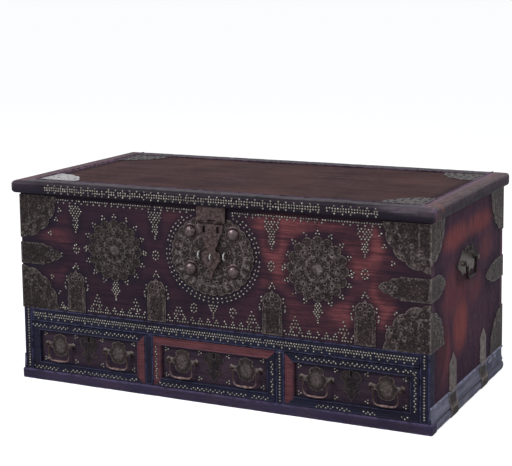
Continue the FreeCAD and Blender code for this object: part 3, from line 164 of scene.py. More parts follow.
class Graph:
    """The nodes of a material or a world, built from the pattern to the shader."""

    def __init__(self, owner):
        owner.use_nodes = True
        self.owner = owner
        self.tree = owner.node_tree
        self.tree.nodes.clear()

    @cached_property
    def place(self):
        """Where a point is on its object."""
        return self.node("TexCoord").outputs["Object"]

    def node(self, kind, inputs=None, **settings):
        """A new node, its inputs linked or set."""
        made = self.tree.nodes.new("ShaderNode" + kind)
        for key, value in settings.items():
            setattr(made, key, value)
        for key, value in (inputs or {}).items():
            if isinstance(value, bpy.types.NodeSocket):
                self.tree.links.new(value, made.inputs[key])
            else:
                made.inputs[key].default_value = value
        return made

    def noise(self, scale, detail=4.0, stretch=(1, 1, 1), distortion=0.0):
        """Cloudy noise, drawn out along an axis where stretch is small."""
        where = self.node("Mapping", {"Vector": self.place, "Scale": stretch}).outputs["Vector"]
        return self.node("TexNoise", {"Vector": where, "Scale": scale, "Detail": detail,
                                      "Roughness": 0.55, "Distortion": distortion}).outputs["Fac"]

    def span(self, value, low, high, start=0.0, end=1.0):
        """A soft step from start at low to end at high."""
        return self.node("MapRange", {"Value": value, "From Min": low, "From Max": high,
                                      "To Min": start, "To Max": end},
                         interpolation_type="SMOOTHSTEP").outputs["Result"]

    def math(self, operation, first, second, clamp=False):
        """The sum, product or other result of two numbers."""
        return self.node("Math", {0: first, 1: second}, operation=operation, use_clamp=clamp).outputs[0]

    def mix(self, factor, first, second):
        """A colour between two colours."""
        def filled(value):
            return value if isinstance(value, bpy.types.NodeSocket) else (*value, 1)
        return self.node("Mix", {0: factor, 6: filled(first), 7: filled(second)},
                         data_type="RGBA").outputs[2]

    def attribute(self, name):
        """A share that is stored on the vertices."""
        return self.node("Attribute", attribute_name=name).outputs["Fac"]

    def finish(self, base, roughness, height, depth, strength=1.0, **constants):
        """Joins the pattern to a shader with a fine relief."""
        bump = self.node("Bump", {"Height": height, "Distance": depth, "Strength": strength})
        shader = self.node("BsdfPrincipled", {"Base Color": base, "Roughness": roughness,
                                              "Normal": bump.outputs["Normal"]})
        for key, value in constants.items():
            shader.inputs[key.replace("_", " ")].default_value = value
        self.node("OutputMaterial", {"Surface": shader.outputs["BSDF"]})
        return self.owner


def wood(name, grain, dark, coat, bare, dirt_and_shade, bareness=0.0, sheen=0.06, dull=0.5, edge=3.4):
    """Hardwood under old varnish or paint, its grain along one axis.

    One stored share shows raw wood, and in a few places a painted highlight. Another darkens it with soiling
    and painted shade. A third lightens the coat by edge, for rubbing wear and painted highlights.
    """
    graph = Graph(bpy.data.materials.new(name))
    along = [1.0, 1.0, 1.0]
    along["XYZ".index(grain)] = 0.035
    streak = graph.noise(300, 5, along, 0.4)
    figure = graph.noise(34, 3, along, 0.8)
    pores = graph.noise(900, 2, along)
    blotch = graph.noise(8, 3)
    patch = graph.noise(60, 4, distortion=0.5)
    tone = graph.math("MULTIPLY", graph.math("ADD", figure, streak), 0.5)
    tone = graph.math("ADD", tone, graph.math("MULTIPLY", graph.math("SUBTRACT", blotch, 0.5), 0.6))
    base = graph.mix(graph.span(tone, 0.28, 0.66), dark, coat)
    # Lighter edges and beads: rubbing wear and painted highlight
    rubbed = graph.math("MULTIPLY", graph.span(graph.attribute("rubbed"), 0.5, 1.0),
                        graph.span(patch, 0.36, 0.6))
    uneven = graph.math("ADD", graph.span(patch, 0.2, 0.8, 0.65, 1.05),
                        graph.span(streak, 0.3, 0.7, -0.12, 0.3))
    wear = graph.math("MULTIPLY", graph.math("ADD", graph.attribute("bare"), bareness), uneven)
    wear = graph.span(wear, 0.05, 1.05)
    raw = graph.mix(graph.span(streak, 0.32, 0.66), [channel * 0.62 for channel in bare], bare)
    base = graph.mix(wear, base, raw)
    base = graph.mix(graph.math("MULTIPLY", rubbed, 0.75), base,
                     [min(1.0, channel * edge) for channel in coat])
    # Darkens towards the dark colour: dirt, and painted shade where the share marks shade
    soot_and_shade = graph.math("MULTIPLY", graph.attribute("grime"), graph.span(patch, 0.18, 0.6, 0.7, 1.0), True)
    base = graph.mix(soot_and_shade, base, dirt_and_shade)
    dust = graph.span(graph.noise(380, 3), 0.6, 0.8, 0.0, 0.35)
    base = graph.mix(dust, base, (0.075, 0.068, 0.078))
    base = graph.mix(graph.span(pores, 0.30, 0.42, 0.6, 0.0), base, [channel * 0.25 for channel in dark])
    rough = graph.math("ADD", graph.span(patch, 0.3, 0.7, dull - 0.08, dull + 0.1),
                       graph.math("MULTIPLY", wear, 0.1))
    height = graph.math("ADD", graph.math("MULTIPLY", streak, 0.7), graph.math("MULTIPLY", pores, 0.4))
    return graph.finish(base, rough, height, 0.45 * MM, Specular_IOR_Level=sheen)


def metal(name, dark, middle, light, metallic=0.55, rough=(0.36, 0.6), grain=1.0,
          tint=(0.055, 0.040, 0.036), chased=0.9):
    """Old sheet or cast metal: patina in hollows, bright where rubbing has polished it and where a highlight
    is painted on rims, folds and crowns, with beaten work.
    """
    graph = Graph(bpy.data.materials.new(name))
    cloud = graph.noise(24 * grain, 4, distortion=0.6)
    mottle = graph.noise(110 * grain, 4, distortion=0.4)
    beaten = graph.noise(230 * grain, 3, distortion=1.2)
    speck = graph.noise(560 * grain, 3)
    sway = graph.node("TexNoise", {"Vector": graph.place, "Scale": 90.0, "Detail": 2.0}).outputs["Color"]
    sway = graph.node("VectorMath", {0: sway, 1: (0.009, 0.009, 0.009)}, operation="MULTIPLY").outputs[0]
    where = graph.node("VectorMath", {0: graph.place, 1: sway}, operation="ADD").outputs[0]
    cells = graph.node("TexVoronoi", {"Vector": where, "Scale": 105.0 * grain},
                       feature="DISTANCE_TO_EDGE").outputs["Distance"]
    groove = graph.span(cells, 0.02, 0.13, chased, 0.0)
    tone = graph.math("ADD", graph.math("MULTIPLY", cloud, 0.45), graph.math("MULTIPLY", mottle, 0.55))
    base = graph.mix(graph.span(tone, 0.36, 0.64), [channel * 0.55 for channel in middle], middle)
    base = graph.mix(graph.span(graph.noise(17 * grain, 3), 0.5, 0.66, 0.0, 0.7), base, tint)
    hollow = graph.span(beaten, 0.34, 0.50, chased, 0.0)
    base = graph.mix(hollow, base, dark)
    base = graph.mix(graph.math("MULTIPLY", groove, 0.7), base, dark)
    raised = graph.math("MULTIPLY", graph.span(beaten, 0.50, 0.62, 0.0, 0.8 * chased),
                        graph.span(cells, 0.1, 0.3))
    # Lighter rims, folds and crowns: rubbing wear and painted highlight
    worn_and_highlit = graph.math("MULTIPLY", graph.attribute("rubbed"), graph.span(mottle, 0.4, 0.6, 0.25, 0.8))
    rub_and_highlight = graph.math("ADD", worn_and_highlit, graph.math("MULTIPLY", raised, graph.span(speck, 0.4, 0.6)), True)
    base = graph.mix(rub_and_highlight, base, light)
    soot_and_shade = graph.math("MULTIPLY", graph.attribute("grime"), graph.span(mottle, 0.2, 0.6, 0.5, 1.0), True)
    base = graph.mix(soot_and_shade, base, [channel * 0.4 for channel in dark])
    coarse = graph.span(graph.math("SUBTRACT", mottle, graph.math("MULTIPLY", rub_and_highlight, 0.25)), 0.2, 0.7, *rough)
    height = graph.math("ADD", graph.math("MULTIPLY", beaten, 0.7 * chased),
                        graph.math("MULTIPLY", speck, 0.2))
    height = graph.math("SUBTRACT", height, graph.math("MULTIPLY", groove, 0.5))
    return graph.finish(base, coarse, height, 2.2 * MM, 0.7, Metallic=metallic, Specular_IOR_Level=0.15)


def finish(name):
    """The named finish, made the first time that a piece asks for it."""
    made = bpy.data.materials.get(name)
    if made:
        return made
    tone = {key: tuple(getattr(bpy.context.scene.chest_colours, key))
            for key in ChestColours.__annotations__}
    dark, red, dirt_and_shade = tone["varnish_dark"], tone["bare_red"], tone["grime"]
    woods = {
        "varnish_across": ("X", dark, tone["varnish"], red, dirt_and_shade),
        "varnish_along": ("Z", (0.032, 0.017, 0.034), (0.060, 0.029, 0.048), (0.225, 0.066, 0.066), dirt_and_shade,
                          0.1),
        "drawer_varnish": ("X", (0.026, 0.017, 0.028), (0.062, 0.038, 0.056), (0.100, 0.050, 0.066), dirt_and_shade),
        "painted_across": ("X", dirt_and_shade, tone["paint"], tone["paint_worn"], dirt_and_shade),
        "painted_upright": ("Z", dirt_and_shade, tone["paint"], tone["paint_worn"], dirt_and_shade),
        "moulding_varnish": ("X", dirt_and_shade, tone["paint"], (0.140, 0.050, 0.058), dirt_and_shade),
        "foot_across": ("X", (0.024, 0.020, 0.042), tone["foot"], (0.074, 0.046, 0.066), dirt_and_shade),
        # Pale blue-grey raw colour: worn paint, and the painted highlight on the plinth's top
        "foot_along": ("Y", (0.030, 0.032, 0.060), (0.110, 0.112, 0.168), (0.290, 0.295, 0.370), dirt_and_shade),
        "lid_edge_across": ("X", (0.009, 0.006, 0.012), (0.026, 0.017, 0.027), (0.135, 0.105, 0.135), dirt_and_shade),
        "lid_edge_along": ("Y", (0.016, 0.010, 0.019), (0.052, 0.031, 0.050), (0.250, 0.105, 0.080), dirt_and_shade),
        "lid_field": ("X", (0.034, 0.020, 0.024), tone["lid"], (0.140, 0.072, 0.066), dirt_and_shade),
        "inside_across": ("X", (0.130, 0.070, 0.038), tone["inside"], (0.300, 0.190, 0.110), dirt_and_shade),
        "inside_along": ("Y", (0.130, 0.070, 0.038), tone["inside"], (0.300, 0.190, 0.110), dirt_and_shade),
    }
    if name in woods:
        extra = {"lid_edge_across": {"sheen": 0.1, "edge": 5.5},
                 "lid_edge_along": {"sheen": 0.08, "edge": 4.5},
                 "foot_along": {"sheen": 0.12, "edge": 2.6}, "foot_across": {"edge": 2.1},
                 "lid_field": {"sheen": 0.015, "dull": 0.72}, "varnish_along": {"sheen": 0.03, "dull": 0.6}}
        return wood(name, *woods[name], **extra.get(name, {}))
    brass, patina, bright = tone["brass"], tone["brass_dark"], tone["brass_light"]
    metals = {
        "old_sheet": (patina, brass, bright),
        "pull_brass": (patina, (0.047, 0.034, 0.036), bright),
        "keyhole_brass": (patina, (0.032, 0.023, 0.027), (0.110, 0.088, 0.092)),
        "tinned_brass": ((0.13, 0.13, 0.135), (0.50, 0.49, 0.505), (0.70, 0.70, 0.71)),
        "hasp_brass": ((0.004, 0.002, 0.002), (0.026, 0.014, 0.014), (0.115, 0.078, 0.076)),
        "boss_brass": ((0.026, 0.018, 0.018), (0.066, 0.046, 0.047), (0.170, 0.130, 0.135)),
        "bail_brass": ((0.026, 0.015, 0.015), tone["bail"], (0.280, 0.190, 0.185)),
        "nail_heads": ((0.030, 0.027, 0.024), tone["nail"], (0.430, 0.410, 0.375)),
        "rust_iron": ((0.010, 0.009, 0.008), tone["iron"], (0.100, 0.080, 0.065)),
        "keyhole_dark": ((0.002, 0.002, 0.002), (0.005, 0.004, 0.005), (0.012, 0.011, 0.012)),
    }
    extra = {"nail_heads": {"metallic": 0.65, "rough": (0.24, 0.36), "tint": (0.090, 0.080, 0.062),
                            "chased": 0.2},
             "boss_brass": {"metallic": 0.75, "rough": (0.24, 0.34), "tint": (0.090, 0.060, 0.070),
                            "chased": 0.12},
             "hasp_brass": {"metallic": 0.2, "rough": (0.5, 0.66), "tint": (0.034, 0.019, 0.018),
                            "chased": 0.65},
             "bail_brass": {"chased": 0.3},
             "pull_brass": {"chased": 0.35, "grain": 1.4}, "keyhole_brass": {"chased": 0.8, "grain": 1.5},
             "tinned_brass": {"tint": (0.45, 0.43, 0.42), "chased": 0.5},
             "rust_iron": {"tint": (0.060, 0.030, 0.018), "chased": 0.3},
             "keyhole_dark": {"metallic": 0.0, "rough": (0.8, 0.9), "tint": (0.004, 0.003, 0.003)}}
    return metal(name, *metals[name], **extra.get(name, {}))


def piece(name, bm, body, material, slot, *replaces):
    """Turns finished geometry into a piece that rides on a body."""
    mesh = bpy.data.meshes.new(name)
    bm.to_mesh(mesh)
    bm.free()
    mesh.shade_smooth()
    mesh.set_sharp_from_angle(angle=math.radians(35))
    mesh.materials.append(finish(material))
    made = bpy.data.objects.new(name, mesh)
    bpy.context.scene.collection.objects.link(made)
    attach(made, body)
    if replaces:
        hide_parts(*replaces)


def dress(names, material):
    """Gives carried-over nodes their finish."""
    for name in names:
        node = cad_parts[name]
        node.data.materials.clear()
        node.data.materials.append(finish(material))


def share_layer(bm, name):
    """The attribute that holds a share from 0 to 1 for each vertex."""
    return bm.verts.layers.float.get(name) or bm.verts.layers.float.new(name)


def paint(bm, name, amount):
    """Stores a share from 0 to 1 on each vertex."""
    layer = share_layer(bm, name)
    for vert in bm.verts:
        vert[layer] = amount(vert.co)


def outward(bm):
    """Turns the faces of closed shells outwards."""
    bmesh.ops.recalc_face_normals(bm, faces=bm.faces[:])
    if bm.calc_volume(signed=True) < 0:
        bmesh.ops.reverse_faces(bm, faces=bm.faces[:])


def board(name, cell, edge=None, sway=0.25 * MM):
    """A CAD board with its triangles merged, its edges rubbed round and its faces divided."""
    edge = bpy.context.scene.chest_sizes.edge_round if edge is None else edge
    bm = bmesh.new()
    bm.from_mesh(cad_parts[name].data)
    bmesh.ops.remove_doubles(bm, verts=bm.verts[:], dist=0.01 * MM)
    bmesh.ops.dissolve_limit(bm, angle_limit=math.radians(1.5), verts=bm.verts[:], edges=bm.edges[:])
    outward(bm)
    corners = [e for e in bm.edges if e.is_manifold and e.calc_face_angle(0) > math.radians(40)]
    rubbed = share_layer(bm, "rubbed")
    worn_and_highlit = bmesh.ops.bevel(bm, geom=corners, offset=edge, offset_type="OFFSET", segments=2, profile=0.5,
                           affect="EDGES", clamp_overlap=True, material=-1)
    for face in worn_and_highlit["faces"]:
        face.material_index = 1
    for axis in range(3):
        groups = []
        for item in sorted(bm.edges, key=lambda e: e.calc_length()):
            run = item.verts[1].co - item.verts[0].co
            if run.length > 1.5 * cell and abs(run[axis]) > 0.999 * run.length:
                if not groups or run.length > 1.15 * groups[-1][0].calc_length():
                    groups.append([])
                groups[-1].append(item)
        for edges in groups:
            cuts = int(edges[0].calc_length() / cell)
            bmesh.ops.subdivide_edges(bm, edges=edges, cuts=cuts, use_grid_fill=True)
    bm.normal_update()
    # Bevelled edges get the lighter mark: rubbing wear, and a painted highlight along them
    for face in bm.faces:
        if face.material_index == 1:
            for vert in face.verts:
                vert[rubbed] = 1.0
            face.material_index = 0
    for vert in bm.verts:
        push = noise.noise(vert.co * 9) * sway
        if vert[rubbed] > 0.5:
            push -= max(0.0, noise.noise(vert.co * 60)) * 0.9 * MM
        vert.co += vert.normal * push
    return bm


def loop(bm, points):
    """A closed line of edges in the upright plane y = 0."""
    verts = [bm.verts.new((x, 0, z)) for x, z in points]
    for first, second in zip(verts, verts[1:] + verts[:1]):
        bm.edges.new((first, second))
    return verts


def ring(bm, x, z, radius, sides=7):
    """A closed round line of edges in the upright plane y = 0."""
    return bmesh.ops.create_circle(bm, cap_ends=False, radius=radius, segments=sides,
                                   matrix=place(x, 0, z) @ UPRIGHT)["verts"]


def fill(bm, cell):
    """Fills the closed lines, less those inside them, with triangles of about one size."""
    bmesh.ops.triangle_fill(bm, use_beauty=True, use_dissolve=False, edges=bm.edges[:])
    for _ in range(6):
        long = [e for e in bm.edges if e.calc_length() > cell * 1.6]
        if not long:
            break
        bmesh.ops.subdivide_edges(bm, edges=long, cuts=1, use_grid_fill=False)
        bmesh.ops.triangulate(bm, faces=bm.faces[:])
        inner = [e for e in bm.edges if not e.is_boundary]
        bmesh.ops.beautify_fill(bm, faces=bm.faces[:], edges=inner, method="ANGLE")


def thicken(bm, thick, relief=None):
    """Raises the filled sheet's front, which faces -Y, and closes it with a flat back and walls."""
    rubbed = share_layer(bm, "rubbed")
    border = {v for e in bm.edges if e.is_boundary for v in e.verts}
    made = bmesh.ops.extrude_face_region(bm, geom=bm.faces[:], use_keep_orig=True)
    backs = {item for item in made["geom"] if isinstance(item, bmesh.types.BMVert)}
    for vert in bm.verts:
        if vert in backs:
            vert.co.y = 0
            continue
        lift = 0.0
        if relief and vert not in border:
            lift = relief(vert.co.x, vert.co.z)
        vert.co.y = -(thick + lift)
        # Raised work and the sheet's rim get the lighter mark: rubbing wear, and a painted highlight along the
        # rim
        vert[rubbed] = smooth(lift, 0.35 * MM, 1.2 * MM) * 0.8 if vert not in border else 0.8
    outward(bm)


def stamp(bm, shape, matrices):
    """Adds a copy of a small shape for each matrix, and frees the shape."""
    mesh = bpy.data.meshes.new("stamp")
    shape.to_mesh(mesh)
    shape.free()
    for matrix in matrices:
        mesh.transform(matrix)
        bm.from_mesh(mesh)
        mesh.transform(matrix.inverted())
    bpy.data.meshes.remove(mesh)


def add(bm, other, matrix=Matrix.Identity(4)):
    """Adds another geometry, turned and placed, and frees it."""
    stamp(bm, other, [matrix])


def dome(radius, height, sides=10, rings=3):
    """A domed head that stands on the plane y = 0 and faces -Y."""
    bm = bmesh.new()
    bmesh.ops.create_uvsphere(bm, u_segments=sides, v_segments=2 * rings, radius=1, matrix=UPRIGHT)
    bmesh.ops.bisect_plane(bm, geom=bm.verts[:] + bm.edges[:] + bm.faces[:], dist=1e-5,
                           plane_co=(0, 1e-4, 0), plane_no=(0, 1, 0), clear_outer=True)
    bmesh.ops.holes_fill(bm, edges=[e for e in bm.edges if e.is_boundary], sides=0)
    bm.transform(Matrix.Diagonal((radius, height, radius, 1)))
    # The crown gets the lighter mark: rubbing wear, and a painted highlight on the top of the head
    paint(bm, "rubbed", lambda co: smooth(-co.y, 0.4 * height, height))
    return bm


def domes(spots, radius, height, plane):
    """Domed heads that stand on the plane y = plane and face -Y."""
    bm = bmesh.new()
    stamp(bm, dome(radius, height), [place(x, plane, z) for x, z in spots])
    return bm


def tube(points, radii):
    """A bar of changing thickness along a line, closed at its ends."""
    curve = bpy.data.curves.new("line", "CURVE")
    curve.dimensions = "3D"
    curve.bevel_depth = 1.0
    curve.bevel_resolution = 3
    curve.use_fill_caps = True
    curve.resolution_u = 6
    line = curve.splines.new("NURBS")
    line.points.add(len(points) - 1)
    for point, where, radius in zip(line.points, points, radii):
        point.co = (*where, 1)
        point.radius = radius
    line.order_u = 3
    line.use_endpoint_u = True
    holder = bpy.data.objects.new("line", curve)
    mesh = bpy.data.meshes.new_from_object(holder)
    bm = bmesh.new()
    bm.from_mesh(mesh)
    bmesh.ops.remove_doubles(bm, verts=bm.verts[:], dist=1e-6)
    outward(bm)
    bpy.data.objects.remove(holder)
    bpy.data.curves.remove(curve)
    bpy.data.meshes.remove(mesh)
    return bm


def bow(x, y, z, out, up, radius):
    """A half-round wire that stands out of the plane y towards -Y."""
    points = [(x, y - out * math.sin(math.radians(turn)), z + up * math.cos(math.radians(turn)))
              for turn in range(0, 181, 20)]
    return tube(points, [radius] * len(points))


def line_of(low, high, pitch):
    """Evenly spaced numbers from low to high."""
    gaps = max(1, round((high - low) / pitch))
    return [low + (high - low) * step / gaps for step in range(gaps + 1)]


def jittered(spots, seed, lost):
    """Spots set by hand: a little off their line, with a few nails lost."""
    chance = random.Random(seed)
    kept = []
    for x, z in spots:
        dx, dz = chance.uniform(-NAIL_WANDER, NAIL_WANDER), chance.uniform(-NAIL_WANDER, NAIL_WANDER)
        if chance.random() > lost:
            kept.append((x + dx, z + dz))
    return kept


def front_marks():
    """The brass on the front: centre, half sizes of the straight part and rounding."""
    marks = [(LOCK_X, LOCK_Z, 10 * MM, 0, 128 * MM)]
    marks += [(x, ROSE_Z, 0, 0, 92 * MM) for x in ROSE_X]
    for x in arch_places():
        marks.append((x, RAIL_TOP + 50 * MM, 0, 38 * MM, 34 * MM))
    for side in (-1, 1):
        edge = side * HALF
        marks.append((edge, CASE_TOP, 0, 0, 132 * MM))
        marks.append((edge, RAIL_TOP, 0, 0, 132 * MM))
        marks.append((edge, STRAP_LEVEL, 110 * MM, 10 * MM, 26 * MM))
        for reach in (435 * MM, 178 * MM):
            marks.append((side * reach + 5 * MM, 490 * MM, 0, 28 * MM, 14 * MM))
    return marks


def arch_places():
    """Where the middles of the four arched plates stand."""
    low, high = ARCHES_LOW.x + ARCH_HALF, ARCHES_HIGH.x - ARCH_HALF
    middle = (low + high) / 2
    return [low, middle - ARCH_INNER, middle + ARCH_INNER, high]


# Where the varnish has worn through: centre, reach across and up in millimetres, strength
WORN_FRONT = [(212, 512, 85, 34, 1.0), (190, 455, 42, 60, 0.8), (206, 400, 30, 60, 0.7),
              (455, 470, 42, 60, 1.0), (430, 420, 50, 34, 0.8), (492, 330, 40, 80, 0.9),
              (395, 290, 60, 34, 0.7), (300, 520, 110, 16, 0.6), (390, 452, 40, 50, 0.5),
              (-505, 426, 60, 26, 0.5), (-470, 452, 36, 50, 0.25), (-500, 330, 50, 40, 0.3),
              (-110, 512, 60, 20, 0.35), (-130, 380, 40, 40, 0.2), (-370, 290, 40, 30, 0.15),
              (240, 300, 40, 50, 0.4), (160, 330, 26, 60, 0.4), (-80, 512, 40, 18, 0.2)]
WORN_END = [(-110, 330, 130, 80, 0.4), (-110, 475, 120, 34, 0.7), (90, 480, 150, 30, 0.6),
            (60, 300, 70, 40, 0.35), (-210, 190, 60, 90, 0.45), (-70, 230, 60, 70, 0.85),
            (160, 400, 60, 40, 0.4)]


def dents(u, w, scale, seed):
    """The hammered surface of a sheet, from 0 to 1."""
    return max(0, noise.noise((u * scale, w * scale, seed)))


def left_dirt(co):
    """Sheet brass is dirtier on the chest's left half."""
    return 0.3 * smooth(-co.x, 0.0, 0.2)


def outside(marks, x, z):
    """Distance from a place to the nearest mark, less than zero inside one."""
    return min(math.hypot(max(abs(x - u) - a, 0), max(abs(z - w) - b, 0)) - r for u, w, a, b, r in marks)


def worn_by(patches, x, z):
    """How bare the wood is at a place, from a list of worn patches."""
    best = 0.0
    for u, w, across, up, strength in patches:
        far = math.hypot((x / MM - u) / across, (z / MM - w) / up)
        best = max(best, strength * smooth(1.6 - far, 0.0, 1.2))
    return best


class Maker:
    """What the chest's operators share."""
    bl_options = {"REGISTER", "UNDO"}


class CHEST_OT_panels(Maker, bpy.types.Operator):
    """Makes the front, the ends and the back of the case in worn red varnish"""
    bl_idname = "chest.panels"
    bl_label = "Panels"

    def execute(self, context):
        marks = front_marks()
        bm = board("front_board", 8 * MM)

        def front_darkening_and_lid_shadow(co):
            if co.y > FRONT + SKIN:
                return 0.0
            # Darker round the brass and just above the rail
            near = smooth(outside(marks, co.x, co.z) / MM, 18, 2) * 0.65
            low = smooth((co.z - RAIL_TOP) / MM, 34, 6) * 0.6
            # Painted shadow of the lid's overhang: a dark band under the case's top
            top = smooth((CASE_TOP - co.z) / MM, 30, 8) * 0.7
            return max(near, low, top)
        paint(bm, "grime", front_darkening_and_lid_shadow)

        def front_bare(co):
            if co.y > FRONT + SKIN:
                return 0.0
            return max(worn_by(WORN_FRONT, co.x, co.z), 0.08 + 0.25 * smooth(co.x, 0.0, 0.25))
        paint(bm, "bare", front_bare)
        piece("front_panel", bm, "case", "varnish_across", "panel_wood", "front_board")

        low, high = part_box("handle_plates")
        end_marks = [((low.y + high.y) / 2, (low.z + high.z) / 2, 60 * MM, 10 * MM, 34 * MM),
                     (FRONT, CASE_TOP, 0, 0, 118 * MM), (FRONT, RAIL_TOP, 0, 0, 118 * MM),
                     (FRONT, STRAP_LEVEL, 80 * MM, 8 * MM, 30 * MM), (BACK, CASE_TOP, 0, 0, 136 * MM),
                     (BACK, BACK_STRAP_LEVEL, 130 * MM, 8 * MM, 30 * MM), (BACK, BACK_FOOT, 0, 0, 140 * MM)]
        for hand, side in HANDS:
            bm = board(f"{hand}_side_board", 12 * MM)

            def end_grime(co, side=side):
                if side * co.x < HALF - SKIN:
                    return 0.0
                near = smooth(outside(end_marks, co.y, co.z) / MM, 26, 2) * 0.55
                rear = smooth((BACK - co.y) / MM, 70, 30) * 0.7
                front = smooth((co.y - FRONT) / MM, 60, 30) * 0.6 * smooth(co.z / MM, 330, 190)
                return max(near, rear, front, smooth(co.z / MM, 170, 90) * 0.3)
            paint(bm, "grime", end_grime)
            paint(bm, "bare", lambda co: worn_by(WORN_END, co.y, co.z))
            piece(f"{hand}_end_panel", bm, "case", "varnish_along", "panel_wood", f"{hand}_side_board")

        bm = board("back_board", 30 * MM)
        paint(bm, "grime", lambda co: smooth(co.z / MM, 120, 20) * 0.8)
        paint(bm, "bare", lambda co: 0.3)
        piece("back_panel", bm, "case", "varnish_across", "panel_wood", "back_board")
        return {"FINISHED"}


def bead(start, end, radius, pearls=0):
    """A half-round line let into a board, plain or cut into pearls."""
    start, end = Vector(start), Vector(end)
    run = end - start
    bm = bmesh.new()
    if not pearls:
        turn = run.to_track_quat("Z", "Y").to_matrix().to_4x4()
        bmesh.ops.create_cone(bm, cap_ends=True, segments=10, radius1=radius, radius2=radius,
                              depth=run.length, matrix=Matrix.Translation((start + end) / 2) @ turn)
    else:
        long = run.length / pearls / 2 * 0.96
        size = Matrix.Diagonal([long if abs(axis) > run.length / 2 else radius for axis in run] + [1])
        pearl = bmesh.new()
        bmesh.ops.create_uvsphere(pearl, u_segments=6, v_segments=4, radius=1, matrix=size)
        stamp(bm, pearl, [Matrix.Translation(start + run * (step + 0.5) / pearls) for step in range(pearls)])
    # The whole bead gets the lighter mark: a light line for rubbing wear and painted highlight
    paint(bm, "rubbed", lambda co: 0.9)
    return bm


class CHEST_OT_rails(Maker, bpy.types.Operator):
    """Makes the painted rails, stiles and partitions round the drawers"""
    bl_idname = "chest.rails"
    bl_label = "Rails and stiles"

    def execute(self, context):
        bm = board("mid_rail", 9 * MM)
        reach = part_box("mid_rail")[1].x
        for level, radius in ((RAIL_TOP - 2.5 * MM, 2.2 * MM), (RAIL_LOW + 3 * MM, 1.8 * MM)):
            add(bm, bead((-reach, FRONT, level), (reach, FRONT, level), radius))
        piece("painted_rail", bm, "case", "painted_across", "frame_wood", "mid_rail")
        bm = board("front_stiles", 6 * MM)
        for side in (-1, 1):
            for inset in (3 * MM, 25 * MM):
                x = side * (HALF - inset)
                add(bm, bead((x, FRONT, 31 * MM), (x, FRONT, RAIL_TOP - 2 * MM), 1.8 * MM))
        piece("painted_stiles", bm, "case", "painted_upright", "frame_wood", "front_stiles")
        piece("painted_partitions", board("drawer_partitions", 8 * MM), "case", "painted_upright",
              "frame_wood", "drawer_partitions")
        return {"FINISHED"}


class CHEST_OT_feet(Maker, bpy.types.Operator):
    """Makes the rail under the drawers and the moulded plinth along the ends"""
    bl_idname = "chest.feet"
    bl_label = "Foot mouldings"

    def execute(self, context):
        bm = board("base_rail", 9 * MM, edge=2.5 * MM, sway=0.8 * MM)
        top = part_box("base_rail")[1].z
        for vert in bm.verts:
            vert.co.z = min(vert.co.z, top)
        paint(bm, "bare", lambda co: 0.25 + 0.3 * noise.noise(co * 14))
        piece("foot_rail", bm, "case", "foot_across", "frame_wood", "base_rail")
        bm = board("side_plinths", 12 * MM, sway=0.4 * MM)
        # Painted shade: a dark line along the plinth's groove
        paint(bm, "grime", lambda co: smooth(abs(co.z - PLINTH_GROOVE) / MM, 7, 1) * 0.9)
        # Raw patches, and the plinth's top painted pale as a painted highlight
        paint(bm, "bare", lambda co: 0.3 + 0.4 * noise.noise(co * 14) + 0.4 * smooth(co.z / MM, 60, 70))
        low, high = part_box("side_plinths")
        for side in (-1, 1):
            x = side * (HALF + 4 * MM)
            add(bm, bead((x, low.y + 5 * MM, PLINTH_BEAD), (x, high.y - 5 * MM, PLINTH_BEAD), 2.4 * MM))
        piece("end_plinths", bm, "case", "foot_along", "frame_wood", "side_plinths")
        return {"FINISHED"}


class CHEST_OT_insides(Maker, bpy.types.Operator):
    """Finishes the boards inside the case and the drawers"""
    bl_idname = "chest.insides"
    bl_label = "Inside woods"

    def execute(self, context):
        dress(["compartment_floor", "base_board"], "inside_across")
        dress(["till_boards"], "inside_along")
        for side in DRAWERS:
            dress([f"{side}_drawer_box", f"{side}_drawer_bottom"], "inside_along")
        dress(["box_lock", "case_hinge_leaves", "lid_hinge_leaves", "hinge_pins"], "rust_iron")
        dress(["hasp_pin"], "hasp_brass")
        return {"FINISHED"}


